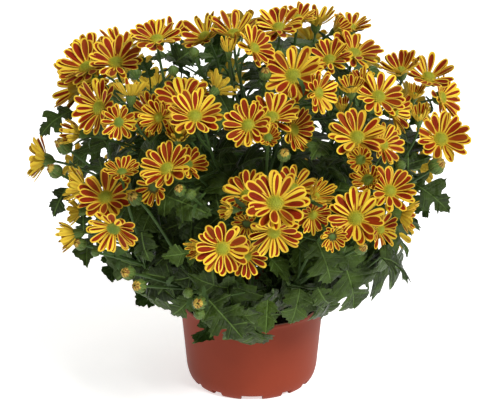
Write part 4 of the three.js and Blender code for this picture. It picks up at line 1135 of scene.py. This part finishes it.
def make_pot(material):
    inside = BASE_HEIGHT + WALL
    # From the middle of its underside out, up the outside, over the rim and down to its floor.
    base = [(30, BASE_HEIGHT), (FOOT_INSIDE - 1.2, BASE_HEIGHT), (FOOT_INSIDE - 0.2, 3)]
    foot = [(FOOT_INSIDE + 0.2, 0.3), (FOOT_INSIDE + 0.6, 0), (FOOT_RADIUS - 0.5, 0),
            (FOOT_RADIUS + 0.2, 0.25), (56.1, 1.6), (57.3, 3.4)]
    wall = [(58.2, 5.6), (58.9, 8.2), (59.5, 11), (BELLY_RADIUS, BELLY_HEIGHT)]
    wall += [(wall_radius(height), height) for height in (20, 30, 40, 50, 60, 68, 71.8)]
    rim = [(wall_radius(72.4) + 0.12, 72.4)]
    rim += [(RIM_RADIUS + out, height) for out, height in (
        (0.35, 73.2), (0.45, 74), (0.4, 75), (0.1, 75.7), (-0.4, POT_HEIGHT), (-1.1, POT_HEIGHT),
        (-1.55, 75.6),
    )]
    inner = [(wall_radius(height) - WALL, height) for height in (74, 70, 60, 45, 30, BELLY_HEIGHT)]
    inner += [(56.5, 9), (54.5, inside), (30, inside)]
    turns = {round(index * TURN / POT_SIDES, 6) for index in range(POT_SIDES)}
    edges = (WIDE_NOTCH / 2, NARROW_NOTCH_TURN - NARROW_NOTCH / 2,
             NARROW_NOTCH_TURN + NARROW_NOTCH / 2)
    for quarter, edge, sign, nudge in itertools.product(
        range(4), edges, (-1, 1), (-NOTCH_SLOPE, NOTCH_SLOPE)
    ):
        turns.add(round((quarter * TURN / 4 + sign * edge + nudge) % TURN, 6))
    turns = sorted(turns)
    around = np.array([polar(1, turn, 0) for turn in turns])
    low = np.array([NOTCH_HEIGHT if in_notch(turn) else 0 for turn in turns])
    rings = []
    for part in (base, foot, wall, rim, inner):
        for radius, height in part:
            ring = around * radius
            ring[:, 2] = np.maximum(height, low) if part is foot else height
            rings.append(ring)
    net = Net()
    add_rings(net, rings, (0, 0, 0), 0)
    net.make("pot_wall", [material], "pot", POT_SHARP)


# ---- Soil ----

SOIL_RADIUS = wall_radius(SOIL_TOP) - WALL - GAP


def soil_height(out):
    return SOIL_TOP + SOIL_DOME * (1 - (out / SOIL_RADIUS) ** 2)


def make_crumb():
    """The corners and the faces of a ball of twenty sides."""
    corners, faces = [(0, 0, 1), (0, 0, -1)], []
    for level, shift in ((0.45, 0), (-0.45, 0.5)):
        flat = math.sqrt(1 - level ** 2)
        corners += [polar(flat, (corner + shift) / 5 * TURN, level) for corner in range(5)]
    for one in range(5):
        other = (one + 1) % 5
        faces += [[0, 2 + one, 2 + other], [2 + one, 7 + one, 2 + other],
                  [2 + other, 7 + one, 7 + other], [1, 7 + other, 7 + one]]
    return np.array(corners), faces


def make_soil(material):
    """Compost: a filled cup whose top is lumpy, with loose crumbs on it."""
    net = Net()
    floor = BASE_HEIGHT + WALL + GAP
    belly = wall_radius(BELLY_HEIGHT) - WALL - GAP
    around = Spot(ORIGIN, UP).out(circle(SOIL_SIDES))
    rings = [around * out + UP * height for out, height in (
        (0.1, floor), (54, floor), (belly, BELLY_HEIGHT + GAP), (SOIL_RADIUS, SOIL_TOP - 1),
    )]
    for step in range(SOIL_RINGS):
        out = (SOIL_RADIUS - 0.4) * (1 - step / (SOIL_RINGS - 0.6))
        ring = around * out
        x, y = ring[:, 0], ring[:, 1]
        lumps = (np.sin(x * 0.31 + 1.2) * np.cos(y * 0.27) + 0.6 * np.sin(x * 0.83 + y * 0.5)
                 + 0.5 * np.cos(y * 1.1 - x * 0.4) + 0.4 * np.sin(x * 1.9) * np.sin(y * 1.7))
        ring[:, 2] = soil_height(out) - 0.6 + SOIL_LUMPS * lumps
        rings.append(ring)
    add_rings(net, rings, (0, 0, 0.3), 0)
    corners, faces = make_crumb()
    for _ in range(CRUMBS):
        out = SOIL_RADIUS * math.sqrt(random(0, 0.93))
        turn = random(0, TURN)
        size = random(*CRUMB_SIZE)
        centre = polar(out, turn, soil_height(out) + size * 0.15)
        stretch = np.array([random(0.8, 1.3), random(0.7, 1.2), random(0.6, 0.9)]) * size
        rough = np.array([[random(0.8, 1.15)] for _ in corners])
        net.add(centre + corners * rough * stretch, (0, 0, random(0, 1)), faces, 0)
    net.make("soil_top", [material], "soil", SOIL_SHARP)


# ---- Materials ----

class Value:
    """What a node gives. It takes arithmetic, so that a pattern reads as a formula."""

    def __init__(self, look, socket):
        self.look, self.socket = look, socket

    def math(self, operation, *values):
        return self.look.node("Math", dict(enumerate(values)), operation=operation)

    def __add__(self, other):
        return self.math("ADD", self, other)

    def __sub__(self, other):
        return self.math("SUBTRACT", self, other)

    def __rsub__(self, other):
        return self.math("SUBTRACT", other, self)

    def __mul__(self, other):
        return self.math("MULTIPLY", self, other)

    def __truediv__(self, other):
        return self.math("DIVIDE", self, other)

    def __pow__(self, other):
        return self.math("POWER", self, other)

    def __abs__(self):
        return self.math("ABSOLUTE", self)

    def at_least(self, other):
        return self.math("MAXIMUM", self, other)

    def fraction(self):
        return self.math("FRACT", self)

    def from_whole(self):
        """How far a value is from the nearest whole number."""
        return abs(self - self.math("ROUND", self))

    def step(self, low, high):
        """A smooth step from 0 at `low` to 1 at `high`."""
        return self.look.node("MapRange", {"Value": self, "From Min": low, "From Max": high},
                              interpolation_type="SMOOTHSTEP")

    def mix(self, one, other):
        """One colour where this is 0, and the other where it is 1."""
        return self.look.node("Mix", {"Factor": self, 6: one, 7: other}, 2, data_type="RGBA")


class Look:
    """A node material."""

    def __init__(self, name, roughness, specular):
        self.material = bpy.data.materials.new(name)
        self.material.use_nodes = True
        self.tree = self.material.node_tree
        self.shader = self.tree.nodes["Principled BSDF"].inputs
        self.shader["Roughness"].default_value = roughness
        self.shader["Specular IOR Level"].default_value = specular

    def plug(self, socket, value):
        if isinstance(value, Value):
            self.tree.links.new(value.socket, socket)
        else:
            socket.default_value = (*value, 1.0) if socket.type == "RGBA" else value

    def node(self, kind, inputs, output=0, **settings):
        """Adds a node with these settings and inputs, and gives one of its outputs."""
        node = self.tree.nodes.new("ShaderNode" + kind)
        for name, value in settings.items():
            setattr(node, name, value)
        for socket, value in inputs.items():
            self.plug(node.inputs[socket], value)
        return Value(self, node.outputs[output])

    def split(self, vector):
        node = self.node("SeparateXYZ", {0: vector}).socket.node
        return [Value(self, socket) for socket in node.outputs]

    def blade(self):
        """The three values that a mesh holds at each point."""
        return self.split(self.node("Attribute", {}, "Vector", attribute_name="blade"))

    def upper(self):
        """The one that it holds at each face."""
        return self.node("Attribute", {}, "Fac", attribute_name="upper")

    def place(self):
        return self.node("TexCoord", {}, "Object")

    def noise(self, scale, detail=2.0, rough=0.5, vector=None):
        return self.node("TexNoise", {
            "Vector": vector or self.place(), "Scale": scale, "Detail": detail, "Roughness": rough,
        })

    def finish(self, colour, height, strength, distance):
        self.plug(self.shader["Base Color"], colour)
        self.plug(self.shader["Normal"], self.node("Bump", {
            "Strength": strength, "Distance": distance, "Height": height,
        }))
        return self.material


def petal_material():
    look = Look("striped_petal", 0.6, 0.1)
    across, along, tone = look.blade()
    out = abs(across)
    streaks = look.noise(1.0, 3.0, 0.65, look.node("CombineXYZ", {
        0: across * 8.0, 1: along * 0.9, 2: tone * 37.0,
    }))
    # The stripe is a long oval that ends short of the tip and comes to a point near the disc. On
    # some rays it is narrow, and all have yellow lines in it.
    wide = tone.step(0.02, 0.45) * 0.42 + 0.32
    side = out * ((0.5 - along).at_least(0.0) * 0.9 + 1.0) / wide
    ends = abs(along - 0.56) / 0.40
    oval = side ** 2.6 + ends ** 4.0 + (streaks - 0.5) * 0.45
    stripe = 1.0 - oval.step(0.82, 1.02)
    halo = 1.0 - oval.step(0.9, 1.5)
    yellow = streaks.mix((0.82, 0.50, 0.016), (0.98, 0.80, 0.07))
    yellow = ((tone * 17.0).fraction() * 0.36).mix(yellow, (0.62, 0.30, 0.012))
    yellow = along.step(0.25, 0.0).mix(yellow, (0.70, 0.50, 0.03))
    yellow = (halo * 0.35).mix(yellow, (0.62, 0.24, 0.006))
    red = streaks.step(0.25, 0.7).mix((0.11, 0.007, 0.001), (0.34, 0.026, 0.002))
    red = along.step(0.42, 0.12).mix(red, (0.42, 0.10, 0.006))
    # Painted highlight: a pale cream line along each ray's edge.
    face = (out.step(0.72, 1.0) * 0.3).mix(stripe.mix(yellow, red), (0.92, 0.62, 0.16))
    # Painted shade: some rays, picked at random, and the foot of all, near the disc, are darkened
    # to brown.
    shaded_rays = (tone * 29.0).fraction().step(0.35, 1.0) * 0.3
    foot = along.step(0.45, 0.1) * 0.3
    face = shaded_rays.at_least(foot).mix(face, (0.26, 0.085, 0.004))
    under = streaks.mix((0.52, 0.32, 0.02), (0.86, 0.66, 0.06))
    flush = out.step(0.6, 0.1) * (look.noise(90.0) * 0.6)
    under = flush.mix(under, (0.30, 0.05, 0.008))
    return look.finish(look.upper().mix(under, face), streaks, 0.5, 0.0008)


def bud_petal_material():
    look = Look("bud_petal", 0.6, 0.15)
    across, along, tone = look.blade()
    grain = look.noise(500.0)
    yellow = grain.mix((0.34, 0.22, 0.03), (0.62, 0.46, 0.09))
    brown = abs(across).step(0.9, 0.2) * tone.step(0.2, 0.7)
    colour = brown.mix(yellow, (0.15, 0.05, 0.010))
    colour = along.step(0.55, 0.15).mix(colour, (0.16, 0.20, 0.04))
    return look.finish(colour, grain, 0.3, 0.0004)


def disc_material():
    look = Look("disc_florets", 0.6, 0.3)
    ring, vary, tone = look.blade()
    ripe = ring.step(0.45, 0.95).mix((0.42, 0.46, 0.03), (0.72, 0.58, 0.03))
    green = ring.step(0.3, 0.95).mix((0.14, 0.26, 0.03), (0.30, 0.38, 0.04))
    # Painted shade: a disc sunk in its hollow is near black, and browner towards its rim.
    dark = ring.step(0.5, 0.95).mix((0.022, 0.014, 0.005), (0.10, 0.07, 0.012))
    colour = tone.step(1.2, 1.8).mix(tone.step(0.2, 0.8).mix(ripe, green), dark)
    grain = look.noise(1400.0)
    colour = (vary * 0.2 + grain * 0.3).mix(colour, (0.14, 0.12, 0.01))
    return look.finish(colour, grain, 0.3, 0.0003)


def calyx_material():
    look = Look("calyx_green", 0.55, 0.3)
    across, _, tone = look.blade()
    grain = look.noise(420.0, 3.0)
    colour = grain.mix((0.04, 0.09, 0.010), (0.13, 0.20, 0.030))
    colour = (abs(across).step(0.55, 1.0) * 0.7).mix(colour, (0.27, 0.30, 0.08))
    colour = (tone * 0.4).mix(colour, (0.05, 0.11, 0.03))
    return look.finish(colour, grain, 0.4, 0.0004)


def leaf_material():
    look = Look("leaf_blade", 0.5, 0.15)
    across, vein, main = look.blade()
    side = look.upper()
    broad = look.noise(95.0, 3.0)
    fine = look.noise(190.0, 4.0, 0.7)
    small_veins = (1.0 - vein.from_whole().step(0.02, 0.10)) * 0.2
    main_veins = (1.0 - main.from_whole().step(0.008, 0.035)) * 0.75
    rib = 1.0 - abs(across).step(0.3, 0.9)
    veins = small_veins.at_least(main_veins).at_least(rib)
    shade = broad + side.fraction() / LEAF_TONE * 0.5
    face = shade.step(0.45, 1.1).mix((0.012, 0.021, 0.004), (0.050, 0.092, 0.008))
    face = (fine * 0.5).mix(face, (0.022, 0.038, 0.007))
    face = (veins * 0.7).mix(face, (0.12, 0.20, 0.045))
    # Partly painted highlight: pale grey-green patches stand in for glints, and partly for the
    # leaf's pale hairs.
    pale = look.noise(60.0, 3.0, 0.6).step(0.5, 0.72) * 0.3
    face = pale.mix(face, (0.085, 0.140, 0.035))
    under = fine.mix((0.026, 0.060, 0.008), (0.052, 0.102, 0.018))
    under = (veins * 0.5).mix(under, (0.14, 0.20, 0.07))
    look.plug(look.shader["Roughness"], fine * 0.45 + 0.2)
    height = fine * 0.6 - veins * 0.3 + broad * 1.6
    return look.finish(side.step(0.5, 0.9).mix(under, face), height, 1.0, 0.0018)


def stem_material():
    look = Look("stem_green", 0.55, 0.2)
    tone = look.blade()[2]
    grain = look.noise(300.0, 3.0)
    young = grain.mix((0.028, 0.062, 0.014), (0.070, 0.125, 0.028))
    old = grain.mix((0.05, 0.04, 0.02), (0.12, 0.10, 0.05))
    return look.finish(tone.step(0.0, 0.3).mix(old, young), grain, 0.5, 0.0005)


def soil_material():
    look = Look("compost", 0.95, 0.2)
    lumps = look.noise(180.0, 5.0, 0.7)
    colour = lumps.mix((0.006, 0.004, 0.003), (0.055, 0.035, 0.022))
    bits = look.noise(700.0, 1.0).step(0.66, 0.74) * 0.6
    return look.finish(bits.mix(colour, (0.16, 0.10, 0.06)), lumps, 0.8, 0.0015)


def pot_material():
    look = Look("terracotta_plastic", 0.5, 0.13)
    broad = look.noise(14.0, 3.0)
    fine = look.noise(900.0)
    colour = broad.step(0.3, 0.7).mix((0.21, 0.031, 0.012), (0.255, 0.040, 0.016))
    colour = (fine * 0.25).mix(colour, (0.18, 0.027, 0.011))
    # Painted highlight: the rim's top edge is painted pale, where light catches it.
    edge = look.split(look.place())[2].step(0.0752, 0.0759) * 0.45
    look.plug(look.shader["Roughness"], broad * 0.25 + 0.38)
    return look.finish(edge.mix(colour, (0.55, 0.38, 0.30)), fine, 0.12, 0.0002)


# ---- Pieces ----

bloom_looks = [petal_material(), disc_material(), calyx_material()]
bud_looks = [bud_petal_material(), bloom_looks[CALYX]]
leaf_looks = [leaf_material(), stem_material()]
make_pot(pot_material())
make_soil(soil_material())

for index, bloom in enumerate(own_blooms):
    net = Net()
    add_bloom(net, bloom)
    name = f"bloom_{index + 1:02d}"
    net.make(f"{name}_rays", bloom_looks, name)

for number in range(CUTTINGS):
    name = f"cutting_{number + 1}"
    net = Net()
    add_wood(net, number)
    net.make(f"{name}_stems", [leaf_looks[RIB]], name)
    for kind, owners, add, materials, slot in (
        ("leaves", leaves, add_leaf, leaf_looks, "green"),
        ("blooms", grown_blooms, add_bloom, bloom_looks, "petals"),
        ("buds", buds, add_bud, bud_looks, "green"),
    ):
        net = Net()
        for owner in owners:
            if owner.number == number:
                add(net, owner)
        if net.count:
            net.make(f"{name}_{kind}", materials, name)


# ---- Floor, light and camera ----

def make_floor():
    mesh = bpy.data.meshes.new("floor")
    mesh.from_pydata([(-6, -6, 0), (6, -6, 0), (6, 6, 0), (-6, 6, 0)], [], [(0, 1, 2, 3)])
    look = Look("floor_pale", 0.9, 0.1)
    look.plug(look.shader["Base Color"], (0.9, 0.9, 0.9))
    look.plug(look.shader["Emission Color"], (1, 1, 1))
    look.plug(look.shader["Emission Strength"], 0.6)
    mesh.materials.append(look.material)
    show("floor", mesh)


def make_sun(name, way, spread, power):
    light = bpy.data.lights.new(name, "SUN")
    light.angle = spread * DEGREE
    light.energy = power
    x, y, z = way
    show(name, light).rotation_euler = (math.atan2(math.hypot(x, y), z), 0, math.atan2(x, -y))


def make_camera():
    lens = bpy.data.cameras.new("camera")
    lens.sensor_fit = "HORIZONTAL"
    lens.sensor_width = SENSOR
    lens.lens = FOCAL / GRID_WIDE * SENSOR
    lens.shift_x = (GRID_WIDE / 2 - GRID_AXIS) / GRID_WIDE
    camera = show("camera", lens)
    camera.location = EYE * MM
    camera.rotation_euler = (math.pi / 2 - LOOK_DOWN, 0, 0)
    bpy.context.scene.camera = camera


def make_world():
    world = bpy.data.worlds.new("studio")
    world.use_nodes = True
    sky = world.node_tree.nodes["Background"].inputs
    sky["Color"].default_value = (1, 0.985, 0.95, 1)
    sky["Strength"].default_value = 0.34
    bpy.context.scene.world = world
    bpy.context.scene.view_settings.view_transform = "Standard"


make_floor()
make_sun("key_sun", (0.75, -0.75, 1.0), 16, 2.6)
make_sun("fill_sun", (-0.8, -0.9, 0.7), 60, 0.12)
make_sun("back_sun", (0.1, 1.0, 1.0), 40, 0.7)
make_world()
make_camera()
